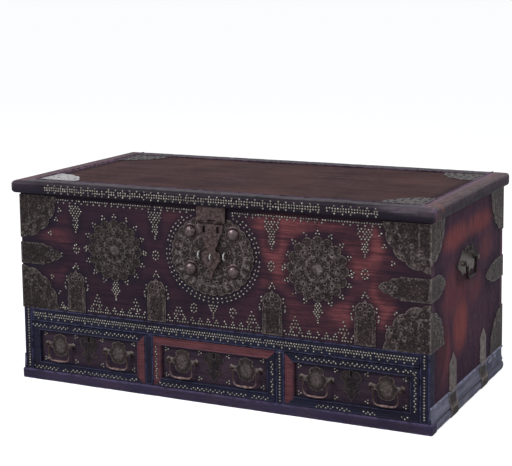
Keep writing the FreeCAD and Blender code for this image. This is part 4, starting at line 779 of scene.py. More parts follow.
class CHEST_OT_lid(Maker, bpy.types.Operator):
    """Makes the lid's field and its moulded border"""
    bl_idname = "chest.lid"
    bl_label = "Lid"

    def execute(self, context):
        low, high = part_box("lid_board")
        bm = board("lid_board", 16 * MM, sway=0.8 * MM)

        # Darker along the field's edges: a dark border, with painted shade beside the raised mouldings
        def field_border_and_shade(co):
            edge = min(co.x - low.x, high.x - co.x, co.y - low.y, high.y - co.y) / MM
            return smooth(edge, 40, 4) * 0.8 if co.z > LID_FIELD - SKIN else 0.3
        paint(bm, "grime", field_border_and_shade)
        paint(bm, "bare", lambda co: 0.35 + 0.5 * noise.noise(co * 5))
        piece("lid_field", bm, "lid", "lid_field", "lid_wood", "lid_board")
        piece("lid_back_strip", board("lid_rear_strip", 16 * MM), "lid", "lid_edge_across", "lid_wood",
              "lid_rear_strip")
        bm = board("lid_front_moulding", 12 * MM, edge=5 * MM, sway=0.5 * MM)

        def front_bare(co):
            # Raw wood at the ends, on the upper half only: wear, and a painted highlight along the top
            upper = smooth(co.z / MM, 566, 578) * (1 if co.y < LID_FACE + 6 * MM else 0.5)
            ends = max(smooth(co.x / MM, 430, 560) * 0.9, smooth(co.x / MM, -500, -600) * 0.4)
            return max(0.12, ends * upper)
        paint(bm, "bare", front_bare)
        # Painted shade: the lower half of the moulding, which faces down, is darker
        paint(bm, "grime", lambda co: smooth(co.z / MM, 570, 556) * 0.7)
        y = low.y - 4 * MM
        add(bm, bead((low.x, y, LID_TOP), (high.x, y, LID_TOP), 2.4 * MM, pearls=170))
        piece("lid_front_edge", bm, "lid", "lid_edge_across", "lid_wood", "lid_front_moulding")
        bm = board("lid_end_mouldings", 12 * MM, edge=5 * MM, sway=0.5 * MM)

        def end_bare(co):
            corner = smooth(co.y / MM, -220, -290) * smooth(noise.noise(co * 40), -0.2, 0.3)
            return max(0.16, corner * 0.8, smooth(co.z / MM, 580, 585) * 0.35)
        paint(bm, "bare", end_bare)
        # Painted shade: the lower half of the moulding, which faces down, is darker
        paint(bm, "grime", lambda co: smooth(co.z / MM, 572, 558) * 0.65)
        for side in (-1, 1):
            x = side * (high.x + 4 * MM)
            add(bm, bead((x, low.y, LID_TOP), (x, high.y, LID_TOP), 2.4 * MM, pearls=92))
        piece("lid_end_edges", bm, "lid", "lid_edge_along", "lid_wood", "lid_end_mouldings")
        return {"FINISHED"}


def moulding_frame(low, high, wide, face, thick, grooves):
    """Four mitred strips round a drawer's face, swept from a section with sunk and raised lines."""
    section = [(0, 0), (0, thick)]
    for inset, rise in grooves:
        section.append((inset, thick + rise))
    section += [(wide, thick - 2.5 * MM), (wide, 0)]
    bm = bmesh.new()
    loops = []
    for inset, rise in section:
        corners = [(low.x + inset, low.z + inset), (high.x - inset, low.z + inset),
                   (high.x - inset, high.z - inset), (low.x + inset, high.z - inset)]
        verts = [bm.verts.new((x, face - rise, z)) for x, z in corners]
        loops.append([bm.edges.new((verts[i - 1], verts[i])) for i in range(4)])
    for first, second in zip(loops, loops[1:] + loops[:1]):
        bmesh.ops.bridge_loops(bm, edges=first + second)
    outward(bm)
    return bm


# Which strips of each drawer's moulding are bare wood: top, right, bottom, left
BARE_STRIPS = {"left": (0, 1, 0, 0), "middle": (1, 0, 0, 0.8), "right": (0, 0, 0, 1)}


class CHEST_OT_drawers(Maker, bpy.types.Operator):
    """Makes the drawers' fronts and their mitred mouldings"""
    bl_idname = "chest.drawers"
    bl_label = "Drawers"

    def execute(self, context):
        for side in DRAWERS:
            low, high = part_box(f"{side}_drawer_front")
            body = f"{side}_drawer"
            bm = board(f"{side}_drawer_front", 7 * MM)
            middle, level = (low.x + high.x) / 2, (low.z + high.z) / 2

            # Painted shade along the field's edges beside the raised frame, and an even darkening
            def grime(co, middle=middle, level=level, face=low.y):
                edge = min(162 * MM - abs(co.x - middle), 46 * MM - abs(co.z - level)) / MM
                return max(smooth(edge, 10, 1) * 0.8, 0.25) if co.y < face + SKIN else 0.2
            paint(bm, "grime", grime)
            paint(bm, "bare", lambda co: 0.12 + 0.4 * noise.noise(co * 22))
            piece(f"{side}_drawer_face", bm, body, "drawer_varnish", "drawer_wood", f"{side}_drawer_front")

            strip_low, strip_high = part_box(f"{side}_drawer_moulding")
            bm = moulding_frame(strip_low, strip_high, DRAWER_STRIP, strip_high.y, DRAWER_STRIP_THICK,
                                [(1.5 * MM, 0.6 * MM), (3 * MM, 0), (4 * MM, -1 * MM), (19 * MM, -1 * MM),
                                 (20.5 * MM, 0.4 * MM), (22 * MM, 1.6 * MM), (23.5 * MM, 0.4 * MM)])
            edges = [e for e in bm.edges if e.calc_length() > 60 * MM]
            bmesh.ops.subdivide_edges(bm, edges=edges, cuts=30, use_grid_fill=True)
            bare, rubbed = share_layer(bm, "bare"), share_layer(bm, "rubbed")
            strips = BARE_STRIPS[side]
            for vert in bm.verts:
                across, up = vert.co.x - middle, vert.co.z - level
                right = (strip_high.x - strip_low.x) / 2 - abs(across)
                top = (strip_high.z - strip_low.z) / 2 - abs(up)
                if right < top:
                    share = strips[1] if across > 0 else strips[3]
                else:
                    share = strips[0] if up > 0 else strips[2]
                vert[bare] = share
                rise = strip_high.y - vert.co.y
                # Raised lines are lighter: rubbing wear and painted highlight
                vert[rubbed] = 0.5 + 0.5 * smooth(rise, 7.6 * MM, 9 * MM)
                vert.co += vert.normal * noise.noise(vert.co * 40) * 0.25 * MM
            piece(f"{side}_drawer_frame", bm, body, "moulding_varnish", "drawer_wood",
                  f"{side}_drawer_moulding")
        return {"FINISHED"}


def lobed(bm, radius, lobes, depth, squash=1.0):
    """A closed line round a plate with a scalloped rim."""
    for vert in ring(bm, 0, 0, radius, lobes * 8):
        turn = math.atan2(vert.co.x, vert.co.z)
        scale = 1 - depth / radius * (1 - abs(math.cos(turn * lobes / 2)) ** 0.7)
        vert.co.x *= scale
        vert.co.z *= scale * squash


def quarter(bm, reach, across, up):
    """The closed line round a scalloped quarter disc, its corner at zero."""
    lobed(bm, reach, 16, 7 * MM)
    bmesh.ops.triangle_fill(bm, use_beauty=True, use_dissolve=False, edges=bm.edges[:])
    bmesh.ops.dissolve_limit(bm, angle_limit=0.01, verts=bm.verts[:], edges=bm.edges[:])
    for normal in ((0, 0, -up), (-across, 0, 0)):
        bmesh.ops.bisect_plane(bm, geom=bm.verts[:] + bm.edges[:] + bm.faces[:], dist=1e-7,
                               plane_co=(0, 0, 0), plane_no=normal, clear_outer=True)
    bmesh.ops.delete(bm, geom=bm.faces[:], context="FACES_ONLY")


def mirrored(right):
    """A closed outline from its right half in millimetres, from top to bottom."""
    return [(u * MM, w * MM) for u, w in right] + [(-u * MM, w * MM) for u, w in reversed(right) if u]


def holes_round(bm, radius, count, size, turn=0.0, squash=1.0):
    """A ring of pierced holes."""
    for step in range(count):
        angle = 2 * math.pi * step / count + turn
        ring(bm, radius * math.sin(angle), radius * math.cos(angle) * squash, size)


class CHEST_OT_lock_plate(Maker, bpy.types.Operator):
    """Makes the scalloped lock plate with its domed bosses and ring staples"""
    bl_idname = "chest.lock_plate"
    bl_label = "Lock plate"

    def execute(self, context):
        relief = context.scene.chest_sizes.sheet_relief
        bm = bmesh.new()
        lobed(bm, LOCK_REACH, 28, 5 * MM, LOCK_SQUASH)
        holes_round(bm, 106 * MM, 28, 2.6 * MM, 0.0, LOCK_SQUASH)
        holes_round(bm, 84 * MM, 20, 3.2 * MM, 0.16, LOCK_SQUASH)
        holes_round(bm, 52 * MM, 12, 3.0 * MM, 0.26, LOCK_SQUASH)
        fill(bm, 5 * MM)

        def raised(x, z):
            far = math.hypot(x, z / LOCK_SQUASH) / MM
            turn = math.atan2(x, z)
            rays = 0.5 + 0.5 * math.cos(turn * 28)
            return relief * (rays * smooth(far, 88, 100) * smooth(far, 122, 112)
                             + 0.8 * smooth(abs(far - 95), 3, 0.5) + 0.8 * smooth(abs(far - 68), 4, 0.5)
                             + 0.9 * dents(x, z, 130, 3))
        thicken(bm, 2.5 * MM, raised)
        bm.transform(place(LOCK_X, FRONT, LOCK_Z))
        piece("lock_plate_brass", bm, "case", "old_sheet", "sheet_brass", "lock_plate")

        bm = bmesh.new()
        low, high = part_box("lock_bosses")
        inset = 21 * MM
        for x in (low.x + inset, high.x - inset):
            for z in (low.z + inset, high.z - inset):
                add(bm, dome(19 * MM, 14 * MM, 28, 9), place(x, LOCK_FACE, z))
                add(bm, dome(23 * MM, 3 * MM, 28, 4), place(x, LOCK_FACE, z))
        piece("domed_bosses", bm, "case", "boss_brass", "sheet_brass", "lock_bosses")

        bm = bmesh.new()
        low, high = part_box("lock_staples")
        for x in (low.x + 2.5 * MM, high.x - 2.5 * MM):
            add(bm, bow(x, LOCK_FACE, LOCK_Z, 10.5 * MM, 10 * MM, 2.6 * MM))
        piece("ring_staples", bm, "case", "tinned_brass", "cast_brass", "lock_staples")
        return {"FINISHED"}


class CHEST_OT_rosettes(Maker, bpy.types.Operator):
    """Makes the two pierced rosettes"""
    bl_idname = "chest.rosettes"
    bl_label = "Rosettes"

    def execute(self, context):
        relief = context.scene.chest_sizes.sheet_relief
        bm = bmesh.new()
        for x in ROSE_X:
            plate = bmesh.new()
            lobed(plate, ROSE_REACH, 16, 11 * MM)
            holes_round(plate, 72 * MM, 16, 2.8 * MM, math.pi / 16)
            holes_round(plate, 58 * MM, 16, 3.2 * MM)
            holes_round(plate, 42 * MM, 12, 3.4 * MM)
            holes_round(plate, 26 * MM, 8, 2.8 * MM, 0.4)
            fill(plate, 4.5 * MM)

            def raised(u, w):
                far, turn = math.hypot(u, w) / MM, math.atan2(u, w)
                petals = 0.5 + 0.5 * math.cos(turn * 8)
                return relief * (0.9 * petals * smooth(far, 44, 52) * smooth(far, 70, 62)
                                 + 0.9 * smooth(abs(far - 34), 4, 0.5) + 1.3 * smooth(far, 20, 6)
                                 + 0.8 * dents(u, w, 150, 7))
            thicken(plate, SHEET, raised)
            add(bm, plate, place(x, FRONT, ROSE_Z))
        paint(bm, "grime", left_dirt)
        piece("rosette_plates", bm, "case", "old_sheet", "sheet_brass", "rosettes")
        return {"FINISHED"}


class CHEST_OT_arches(Maker, bpy.types.Operator):
    """Makes the four arched plates that stand on the rail"""
    bl_idname = "chest.arches"
    bl_label = "Arched plates"

    def execute(self, context):
        relief = context.scene.chest_sizes.sheet_relief
        bm = bmesh.new()
        for x in arch_places():
            plate = bmesh.new()
            loop(plate, mirrored(ARCH_PLATE)[::-1])
            for u, w in ((0, 108), (12, 96), (-12, 96), (0, 86)):
                ring(plate, u * MM, w * MM, 3.4 * MM, 8)
            fill(plate, 4.5 * MM)

            def raised(u, w):
                rib = smooth(abs(abs(u) / MM - 22), 2.5, 0.5) * smooth(w / MM, 74, 66)
                band = smooth(abs(w / MM - 74), 2.5, 0.5)
                return relief * (0.7 * rib + 0.7 * band + 0.8 * dents(u, w, 150, 11))
            thicken(plate, SHEET, raised)
            add(bm, plate, place(x, FRONT, ARCHES_LOW.z))
        piece("arched_plates", bm, "case", "old_sheet", "sheet_brass", "arch_plates")
        return {"FINISHED"}


def fold(bm, side, back=False):
    """Bends a flat sheet round an upright edge of the case: u below zero stays on the front or back."""
    face = BACK if back else FRONT
    away = 1 if back else -1
    rubbed = share_layer(bm, "rubbed")
    for vert in bm.verts:
        u, h = vert.co.x, -vert.co.y
        # Painted highlight along the fold line
        if abs(u) < 1e-6:
            vert[rubbed] = 1.0
        if u <= 1e-6:
            x = HALF + (h if abs(u) < 1e-6 else u)
            y = face + away * h
        else:
            x = HALF + h
            y = face - away * u
        vert.co.x, vert.co.y = side * x, y
    if (side < 0) != back:
        bmesh.ops.reverse_faces(bm, faces=bm.faces[:])


def corner_sheet(front_reach, side_reach, up, relief):
    """A pierced corner plate laid flat: u below zero lies on the front, above zero on the end."""
    made = bmesh.new()
    for reach, hand in ((front_reach, -1), (side_reach, 1)):
        bm = bmesh.new()
        quarter(bm, reach, hand, up)
        for share, turn in CORNER_HOLES:
            angle = math.radians(turn)
            ring(bm, hand * reach * share * math.cos(angle), up * reach * share * math.sin(angle), 2.9 * MM)
        fill(bm, 5.5 * MM)

        def raised(u, w):
            far = math.hypot(u, w) / reach
            turn = math.atan2(abs(w), abs(u))
            rays = 0.5 + 0.5 * math.cos(turn * 16)
            return relief * (0.9 * rays * smooth(far, 0.84, 0.88) * smooth(far, 0.97, 0.94)
                             + 0.9 * smooth(abs(far - 0.71), 0.03, 0.005)
                             + 0.9 * smooth(abs(abs(u) / MM - 30), 3, 0.5)
                             + 0.8 * dents(u, w, 140, 5 + hand))
        thicken(bm, SHEET, raised)
        add(made, bm)
    return made


def strap_sheet(front_reach, side_reach, high, relief):
    """A strap laid flat, with a stepped and pointed head at each end."""
    made = bmesh.new()
    head = [(0.0, 1.0), (0.55, 1.0), (0.60, 0.84), (0.72, 0.80), (0.79, 0.52), (0.90, 0.42), (1.0, 0.0)]
    for reach, hand in ((front_reach, -1), (side_reach, 1)):
        bm = bmesh.new()
        upper = [(hand * u * reach, w * high / 2) for u, w in head]
        outline = upper + [(u, -w) for u, w in reversed(upper[:-1])]
        loop(bm, outline)
        if reach > 80 * MM:
            for u, w in ((0.88, 0), (0.76, 0.32), (0.76, -0.32), (0.66, 0.0)):
                ring(bm, hand * u * reach, w * high / 2, 2.9 * MM)
        fill(bm, 5.5 * MM)

        def raised(u, w):
            edge = smooth(abs(abs(w) - high * 0.40) / MM, 2.5, 0.5) * smooth(abs(u) / reach, 0.6, 0.56)
            return relief * (0.8 * edge + 0.8 * dents(u, w, 140, 9 + hand))
        thicken(bm, SHEET, raised)
        add(made, bm)
    return made


class CHEST_OT_corners(Maker, bpy.types.Operator):
    """Makes the corner plates and straps that are bent round the case's upright edges"""
    bl_idname = "chest.corners"
    bl_label = "Corner brass"

    def execute(self, context):
        relief = context.scene.chest_sizes.sheet_relief
        top = CASE_TOP - 6 * MM
        for hand, side in HANDS:
            for end, back in (("front", False), ("back", True)):
                node = f"{hand}_{end}_corner_brass"
                bm = bmesh.new()
                if back:
                    sheets = [(corner_sheet(60 * MM, 124 * MM, -1, relief), top),
                              (corner_sheet(60 * MM, 124 * MM, 1, relief), BACK_FOOT),
                              (strap_sheet(60 * MM, 172 * MM, 62 * MM, relief), BACK_STRAP_LEVEL)]
                else:
                    sheets = [(corner_sheet(126 * MM, 106 * MM, -1, relief), top),
                              (corner_sheet(126 * MM, 106 * MM, 1, relief), RAIL_TOP),
                              (strap_sheet(140 * MM, 115 * MM, 62 * MM, relief), STRAP_LEVEL)]
                for sheet, level in sheets:
                    sheet.transform(place(0, 0, level))
                    fold(sheet, side, back)
                    add(bm, sheet)
                paint(bm, "grime", left_dirt)
                piece(f"{hand}_{end}_corner_plates", bm, "case", "old_sheet", "sheet_brass", node)
        return {"FINISHED"}


class CHEST_OT_hasp(Maker, bpy.types.Operator):
    """Makes the hasp and the leaf that hangs it"""
    bl_idname = "chest.hasp"
    bl_label = "Hasp"

    def execute(self, context):
        piece("hasp_plate", board("hasp", 9 * MM, edge=0.5 * MM, sway=0.4 * MM), "hasp", "hasp_brass",
              "cast_brass", "hasp")
        low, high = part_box("hasp")
        eye = bow((low.x + high.x) / 2, low.y + 7.2 * MM, high.z - HASP_EYE_DROP, 6.2 * MM, 7.5 * MM, 2.1 * MM)
        piece("hasp_ring_eye", eye, "hasp", "tinned_brass", "cast_brass")
        piece("hasp_leaf_plate", board("hasp_leaf", 9 * MM, edge=0.5 * MM, sway=0.3 * MM), "lid",
              "hasp_brass", "cast_brass", "hasp_leaf")
        return {"FINISHED"}


class CHEST_OT_end_fittings(Maker, bpy.types.Operator):
    """Makes the lifting handles, their plates and the straps over the plinth"""
    bl_idname = "chest.end_fittings"
    bl_label = "End fittings"

    def execute(self, context):
        piece("handle_plate_pair", board("handle_plates", 9 * MM, edge=0.6 * MM), "case", "pull_brass",
              "sheet_brass", "handle_plates")
        piece("turned_straps", board("foot_straps", 9 * MM, edge=0.5 * MM), "case", "old_sheet",
              "sheet_brass", "foot_straps")
        for hand in ("left", "right"):
            node = f"{hand}_side_handle"
            piece(f"{hand}_lifting_bail", board(node, 50 * MM, edge=0.3 * MM), node, "hasp_brass",
                  "cast_brass", node)
        return {"FINISHED"}


class CHEST_OT_lid_plates(Maker, bpy.types.Operator):
    """Makes the pierced corner plates on the lid's field"""
    bl_idname = "chest.lid_plates"
    bl_label = "Lid corner plates"

    def execute(self, context):
        relief = context.scene.chest_sizes.sheet_relief
        low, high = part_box("lid_corner_plates")
        for x, across in ((low.x, 1), (high.x, -1)):
            for y, up in ((low.y, 1), (high.y, -1)):
                bm = bmesh.new()
                quarter(bm, LID_CORNER_REACH, across, up)
                for share in (0.35, 0.55, 0.75, 0.9):
                    count = round(share * 8)
                    for step in range(count):
                        angle = math.pi / 2 * (step + 0.5) / count
                        ring(bm, across * LID_CORNER_REACH * share * math.cos(angle),
                             up * LID_CORNER_REACH * share * math.sin(angle), 6 * MM)
                fill(bm, 6 * MM)
                thicken(bm, SHEET, lambda u, w: relief * dents(u, w, 120, 1))
                bm.transform(place(x, y, LID_FIELD) @ ON_TOP)
                name = f"lid_corner_{'left' if across > 0 else 'right'}_{'front' if up > 0 else 'back'}"
                if across > 0 and up > 0:
                    piece(name, bm, "lid", "tinned_brass", "sheet_brass", "lid_corner_plates")
                else:
                    piece(name, bm, "lid", "keyhole_brass", "sheet_brass")
        return {"FINISHED"}


class CHEST_OT_pulls(Maker, bpy.types.Operator):
    """Makes the drawers' pull plates, posts, keyhole plates and bails"""
    bl_idname = "chest.pulls"
    bl_label = "Drawer pulls"

    def execute(self, context):
        for side in DRAWERS:
            low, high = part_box(f"{side}_drawer_front")
            middle = (low.x + high.x) / 2
            face = low.y
            bm = bmesh.new()
            for hand in ("left", "right"):
                bail = f"{side}_drawer_{hand}_bail"
                bail_low, bail_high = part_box(bail)
                x = (bail_low.x + bail_high.x) / 2
                axis = (bail_high.y + bail_low.y) / 2
                level = bail_high.z - 2.5 * MM
                plate = bmesh.new()
                loop(plate, mirrored(PULL_PLATE))
                fill(plate, 4 * MM)
                thicken(plate, 1.5 * MM, lambda u, w: 0.8 * MM * smooth(math.hypot(u, w * 0.8) / MM, 24, 12)
                        + 1.2 * MM * smooth(abs(u) / MM, 24, 32)
                        + 0.5 * MM * dents(u, w, 150, 4))
                add(bm, plate, place(x, face, level))
                for end in (-1, 1):
                    knob = [(x + end * PULL_POST, face - out * MM, level) for out in (1, 6, 10, 14.4)]
                    add(bm, tube(knob, [6 * MM, 4.5 * MM, 6 * MM, 3.5 * MM]))
                span = [*BAIL, BAIL_MIDDLE, *((-u, w, radius) for u, w, radius in reversed(BAIL))]
                bar = tube([(x + u * MM, axis, level + w * MM) for u, w, _ in span],
                           [radius * MM for _, _, radius in span])
                # Lighter towards the bail's bottom: rubbing wear and painted highlight
                paint(bar, "rubbed", lambda co: smooth(level - co.z, 20 * MM, 42 * MM))
                piece(f"{bail}_bar", bar, bail, "bail_brass", "cast_brass", bail)
            plate = bmesh.new()
            loop(plate, mirrored(KEY_PLATE))
            loop(plate, [(-4 * MM, 24 * MM), (4 * MM, 24 * MM), (4 * MM, 39 * MM), (-4 * MM, 39 * MM)])
            for u, w in ((14, 26), (-14, 26), (10, -12), (-10, -12)):
                ring(plate, u * MM, w * MM, 1.8 * MM, 6)
            fill(plate, 4 * MM)
            thicken(plate, 1.5 * MM, lambda u, w: 0.9 * MM * dents(u, w, 200, 2))
            plate.transform(place(middle, face, KEY_PLATE_LEVEL))
            piece(f"{side}_keyhole_plate", plate, f"{side}_drawer", "keyhole_brass", "sheet_brass")
            # Painted shade: a thin black sheet in the key plate's slot stands for the shade inside the keyhole
            hole = bmesh.new()
            bmesh.ops.create_cube(hole, size=1, matrix=place(middle, face, KEYHOLE_LEVEL)
                                  @ Matrix.Diagonal((9 * MM, 0.8 * MM, 16 * MM, 1)))
            piece(f"{side}_keyhole", hole, f"{side}_drawer", "keyhole_dark", "dark_iron")
            fittings = f"{side}_drawer_fittings"
            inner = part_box(fittings)[1]
            lock = bmesh.new()
            bmesh.ops.create_cube(lock, size=1, matrix=place(middle, inner.y - 6 * MM, inner.z - 17 * MM)
                                  @ Matrix.Diagonal((60 * MM, 12 * MM, 34 * MM, 1)))
            bmesh.ops.bevel(lock, geom=lock.edges[:], offset=1 * MM, segments=2, profile=0.5, affect="EDGES",
                            material=-1)
            add(bm, lock)
            piece(f"{side}_drawer_plates", bm, f"{side}_drawer", "pull_brass", "sheet_brass", fittings)
        return {"FINISHED"}


def triplet(x, z, size=4.6 * MM, turn=0.0):
    """Three nails in a group, one of them outward in the direction of turn from straight up."""
    spots = [(0, size), (size * 0.85, -size * 0.5), (-size * 0.85, -size * 0.5)]
    return [(x + u * math.cos(turn) + w * math.sin(turn), z - u * math.sin(turn) + w * math.cos(turn))
            for u, w in spots]


def nail_rows(x, top, counts, pitch, step):
    """Centred rows of nails, one below the other."""
    return [(x + (nail - (count - 1) / 2) * pitch, top - row * step)
            for row, count in enumerate(counts) for nail in range(count)]


def panel_nails():
    """The nails on the front panel, in millimetres."""
    spots = [(x, 535) for x in line_of(-495, 505, 7.7) if abs(x - 5) > 50]
    spots += [(x, 527.5) for x in line_of(-490, 505, 20) if abs(x - 5) > 62]
    for x in (-432, -173, 182, 445):
        spots += nail_rows(x, 519, (5, 4, 5, 4, 3, 2), 9.4, 6.6)
        spots += nail_rows(x, 479.4, (3, 2, 3, 2, 1, 1), 7.52, 6.6)
    for x, z in ((-431, 398), (-172, 400), (180, 400), (445, 402), (-55, 264), (65, 262)):
        spots += [(x + 9 * math.sin(step * math.pi / 4), z + 12 * math.cos(step * math.pi / 4))
                  for step in range(8)]
        spots.append((x, z))
    for x, z, turn in ((-397, 400, 1.5), (-485, 377, -1.5), (-434, 350, 0), (-206, 402, -1.5),
                       (215, 398, 1.5), (407, 395, -1.5), (-517, 310, -0.7), (-495, 267, -0.9),
                       (-476, 222, -1.2), (527, 310, -0.7), (506, 269, -0.9), (498, 478, -2.2),
                       (-498, 478, 2.2), (520, 437, -2.6), (-520, 437, 2.6), (-486, 505, 1.9),
                       (488, 506, -1.9)):
        spots += triplet(x, z, 4.8, turn)
    for centre in ROSE_X:
        x, z = centre / MM, ROSE_Z / MM
        for step in range(16):
            turn = step * math.pi / 8
            if step != 8:
                spots += triplet(x + 96 * math.sin(turn), z + 96 * math.cos(turn), 5.2, turn)
        spots += nail_rows(x, z - 92, (2, 3, 2, 3, 4, 3, 2, 1, 1, 1), 8, 5.6)
    x, z = LOCK_X / MM, LOCK_Z / MM
    for step in range(62):
        turn = 2 * math.pi * step / 62
        for wide, high in ((132, 119), (141.5, 129)):
            u, w = x + wide * math.sin(turn), z + high * math.cos(turn)
            if w < 520:
                spots.append((u, w))
    spots += [(x + u, 242 + w) for u, w in ((0, 0), (0, 7), (0, 14), (-5, 20), (5, 20), (-9, 26), (9, 26),
                                            (0, 27), (-12, 33), (12, 33), (-4, 34), (4, 34))]
    for centre in arch_places():
        x = centre / MM
        spots += triplet(x, 349, 5.5) + [(x - 8, 341), (x + 8, 341)]
        for hand in (-1, 1):
            spots += triplet(x + hand * 35, 290, 5.5, -hand * 1.57) + [(x + hand * 36, 281)]
            spots += [(x + hand * 20, 334), (x + hand * 28, 326), (x + hand * 32, 315), (x + hand * 32, 305)]
    for x in (-365, -240, -102.5, 121, 247.5, 385):
        spots += nail_rows(x, 270, (1, 2, 3, 4), 9, 9.5)
    spots += [(x, 221) for x in line_of(-492, 470, 8)]
    for x in line_of(-484, 462, 25):
        spots += [(x - 4, 229), (x + 4, 229), (x, 236)]
    arches = [centre / MM for centre in arch_places()]
    return [(u, w) for u, w in spots if not (w < 335 and any(abs(u - a) < 31.5 for a in arches))]


class CHEST_OT_nails(Maker, bpy.types.Operator):
    """Drives the rows and groups of domed nails"""
    bl_idname = "chest.nails"
    bl_label = "Nails"

    def execute(self, context):
        sizes = context.scene.chest_sizes
        radius, height, pitch = sizes.nail_radius, sizes.nail_height, sizes.nail_pitch / MM

        def heads(name, spots, plane, body, seed, *replaces, lost=0.03):
            spots = jittered([(x * MM, z * MM) for x, z in spots], seed, lost)
            piece(name, domes(spots, radius, height, plane), body, "nail_heads", "nail_brass", *replaces)

        heads("panel_nails", panel_nails(), FRONT, "case", 1, "case_nails")
        rail = [(x, 197) for x in line_of(-585, 585, pitch)] + [(x, 190) for x in line_of(-581, 581, pitch)]
        rail += [(x, 182.5) for x in line_of(-570, 575, 23)]
        heads("rail_nails", rail, FRONT, "case", 2, lost=0.05)
        stiles = [(side * 605, z) for side in (-1, 1) for z in line_of(38, 205, 8)]
        stiles += [(201.5, z) for z in line_of(36, 168, 8)]
        heads("stile_nails", stiles, FRONT, "case", 3)

        low, high = -520, 485
        band = [(x, z) for z in (570.5, 563.5) for x in line_of(low, high, pitch)]
        band += [(x, z) for z in (577, 557) for x in line_of(low + 10, high - 4, 22.5)]
        # A short stretch of the band has lost its nails
        band = [(x, z) for x, z in band if not 332 < x < 346]
        heads("lid_band_nails", band, LID_FACE, "lid", 4, "lid_nails", lost=0.06)

        rows = {
            "left": [(-590, -240, 160), (-588, -245, 36)],
            "middle": [(-168, 165, 36)],
            "right": [(250, 575, 160), (300, 400, 36), (440, 470, 36), (545, 560, 36)],
        }
        columns = {"left": [], "middle": [(178, 50, 140), (-178, 50, 140)], "right": [(580, 50, 160)]}
        for index, side in enumerate(DRAWERS):
            front_low, front_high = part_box(f"{side}_drawer_front")
            face, middle = front_low.y, (front_low.x + front_high.x) / 2 / MM
            spots = [(x, z + 2.4 * (-1) ** step) for start, end, z in rows[side]
                     for step, x in enumerate(line_of(start, end, 6.6))]
            spots += [(x + 1.6 * (-1) ** step, z) for x, start, end in columns[side]
                      for step, z in enumerate(line_of(start, end, 7))]
            heads(f"{side}_drawer_strip_nails", spots, face - 6.5 * MM, f"{side}_drawer", 5 + index,
                  lost=0.08)
            field = []
            for hand in (-1, 1):
                for x, z in ((148, 137), (148, 63), (44, 137), (44, 64)):
                    field += triplet(middle + hand * x, z, 4.6, hand * 0.5)
            heads(f"{side}_drawer_field_nails", field, face, f"{side}_drawer", 15 + index, lost=0.0)
        return {"FINISHED"}


# Each lamp's place, side in metres and power in watts
LAMPS = (("key", (-1.9, -2.6, 2.9), 1.3, 95), ("fill", (3.2, -1.6, 1.6), 2.2, 30),
         ("back", (1.5, 3.0, 2.6), 2.0, 30))
# The camera, fitted to the chest's edges and corners: place, yaw, pitch and roll, lens and shift
CAMERA_PLACE, CAMERA_TURNS = (1.6867, -3.4623, 1.1703), (0.457503, 0.134780, -0.0117800)
CAMERA_LENS, CAMERA_SHIFT = 94.9, -0.1529


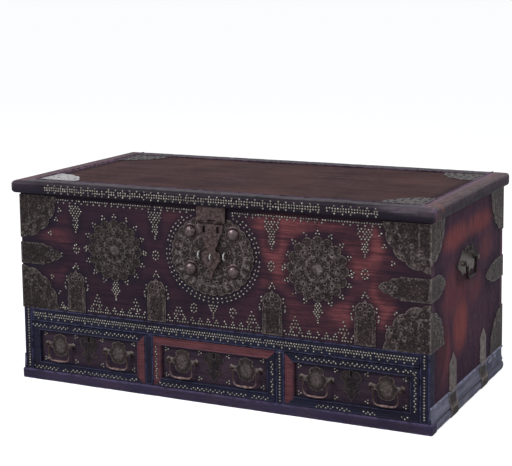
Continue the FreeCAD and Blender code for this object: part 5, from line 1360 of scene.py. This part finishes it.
class CHEST_OT_stage(Maker, bpy.types.Operator):
    """Sets the floor, the white world, the lamps and the camera"""
    bl_idname = "chest.stage"
    bl_label = "Stage"

    def execute(self, context):
        bm = bmesh.new()
        bmesh.ops.create_grid(bm, x_segments=8, y_segments=8, size=60)
        mesh = bpy.data.meshes.new("floor")
        bm.to_mesh(mesh)
        bm.free()
        floor = bpy.data.objects.new("floor", mesh)
        context.scene.collection.objects.link(floor)
        graph = Graph(bpy.data.materials.new("pale_floor"))
        seen = graph.node("LightPath").outputs["Is Camera Ray"]
        pale = graph.node("BsdfDiffuse", {"Color": (0.72, 0.72, 0.72, 1)})
        glow = graph.node("Emission", {"Color": (1, 1, 1, 1), "Strength": graph.math("MULTIPLY", seen, 0.70)})
        both = graph.node("AddShader", {0: pale.outputs["BSDF"], 1: glow.outputs["Emission"]})
        graph.node("OutputMaterial", {"Surface": both.outputs["Shader"]})
        mesh.materials.append(graph.owner)

        graph = Graph(bpy.data.worlds.new("white_room"))
        context.scene.world = graph.owner
        rays = graph.node("LightPath").outputs
        seen = graph.math("MAXIMUM", rays["Is Camera Ray"], rays["Is Glossy Ray"])
        seen = graph.math("MAXIMUM", seen, rays["Is Transmission Ray"])
        room = graph.node("Background", {"Color": (0.93, 0.95, 1.0, 1), "Strength": 0.4})
        white = graph.node("Background", {"Color": (1, 1, 1, 1), "Strength": 1.0})
        pick = graph.node("MixShader", {"Fac": seen, 1: room.outputs[0], 2: white.outputs[0]})
        graph.node("OutputWorld", {"Surface": pick.outputs[0]})

        for name, where, size, power in LAMPS:
            lamp = bpy.data.lights.new(name, "AREA")
            lamp.size = size
            lamp.energy = power
            holder = bpy.data.objects.new(name, lamp)
            holder.location = where
            aim = Vector((0, 0, 0.3)) - Vector(where)
            holder.rotation_euler = aim.to_track_quat("-Z", "Y").to_euler()
            context.scene.collection.objects.link(holder)

        yaw, pitch, roll = CAMERA_TURNS
        ahead = Vector((-math.sin(yaw) * math.cos(pitch), math.cos(yaw) * math.cos(pitch), -math.sin(pitch)))
        right = Vector((math.cos(yaw), math.sin(yaw), 0))
        above = right.cross(ahead)
        across = right * math.cos(roll) + above * math.sin(roll)
        upward = above * math.cos(roll) - right * math.sin(roll)
        camera = bpy.data.objects.new("camera", bpy.data.cameras.new("camera"))
        camera.data.sensor_width = 36
        camera.data.lens, camera.data.shift_y = CAMERA_LENS, CAMERA_SHIFT
        camera.data.clip_end = 200
        camera.matrix_world = Matrix.Translation(CAMERA_PLACE) @ Matrix(
            (across, upward, -ahead)).transposed().to_4x4()
        context.scene.collection.objects.link(camera)
        context.scene.camera = camera
        context.scene.view_settings.view_transform = "Standard"
        return {"FINISHED"}


class CHEST_PT_panel(bpy.types.Panel):
    """Lists the chest's pieces"""
    bl_idname = "CHEST_PT_panel"
    bl_label = "Dowry chest"
    bl_space_type = "VIEW_3D"
    bl_region_type = "UI"
    bl_category = "Chest"

    def draw(self, context):
        for group in (context.scene.chest_sizes, context.scene.chest_colours):
            for key in group.__annotations__:
                self.layout.prop(group, key)
        for maker in MAKERS:
            self.layout.operator(maker.bl_idname)


MAKERS = (CHEST_OT_panels, CHEST_OT_rails, CHEST_OT_feet, CHEST_OT_insides, CHEST_OT_lid, CHEST_OT_drawers,
          CHEST_OT_lock_plate, CHEST_OT_rosettes, CHEST_OT_arches, CHEST_OT_corners, CHEST_OT_hasp,
          CHEST_OT_end_fittings, CHEST_OT_lid_plates, CHEST_OT_pulls, CHEST_OT_nails, CHEST_OT_stage)
CLASSES = (ChestSizes, ChestColours, *MAKERS, CHEST_PT_panel)


def register():
    """Adds the chest's settings, makers and panel."""
    for item in CLASSES:
        bpy.utils.register_class(item)
    bpy.types.Scene.chest_sizes = bpy.props.PointerProperty(type=ChestSizes)
    bpy.types.Scene.chest_colours = bpy.props.PointerProperty(type=ChestColours)


def unregister():
    """Takes them away again."""
    del bpy.types.Scene.chest_sizes
    del bpy.types.Scene.chest_colours
    for item in reversed(CLASSES):
        bpy.utils.unregister_class(item)


def main():
    """Registers the chest's settings and makers, then makes every piece."""
    register()
    for maker in MAKERS:
        group, name = maker.bl_idname.split(".")
        getattr(getattr(bpy.ops, group), name)()


if __name__ == "__main__":
    main()
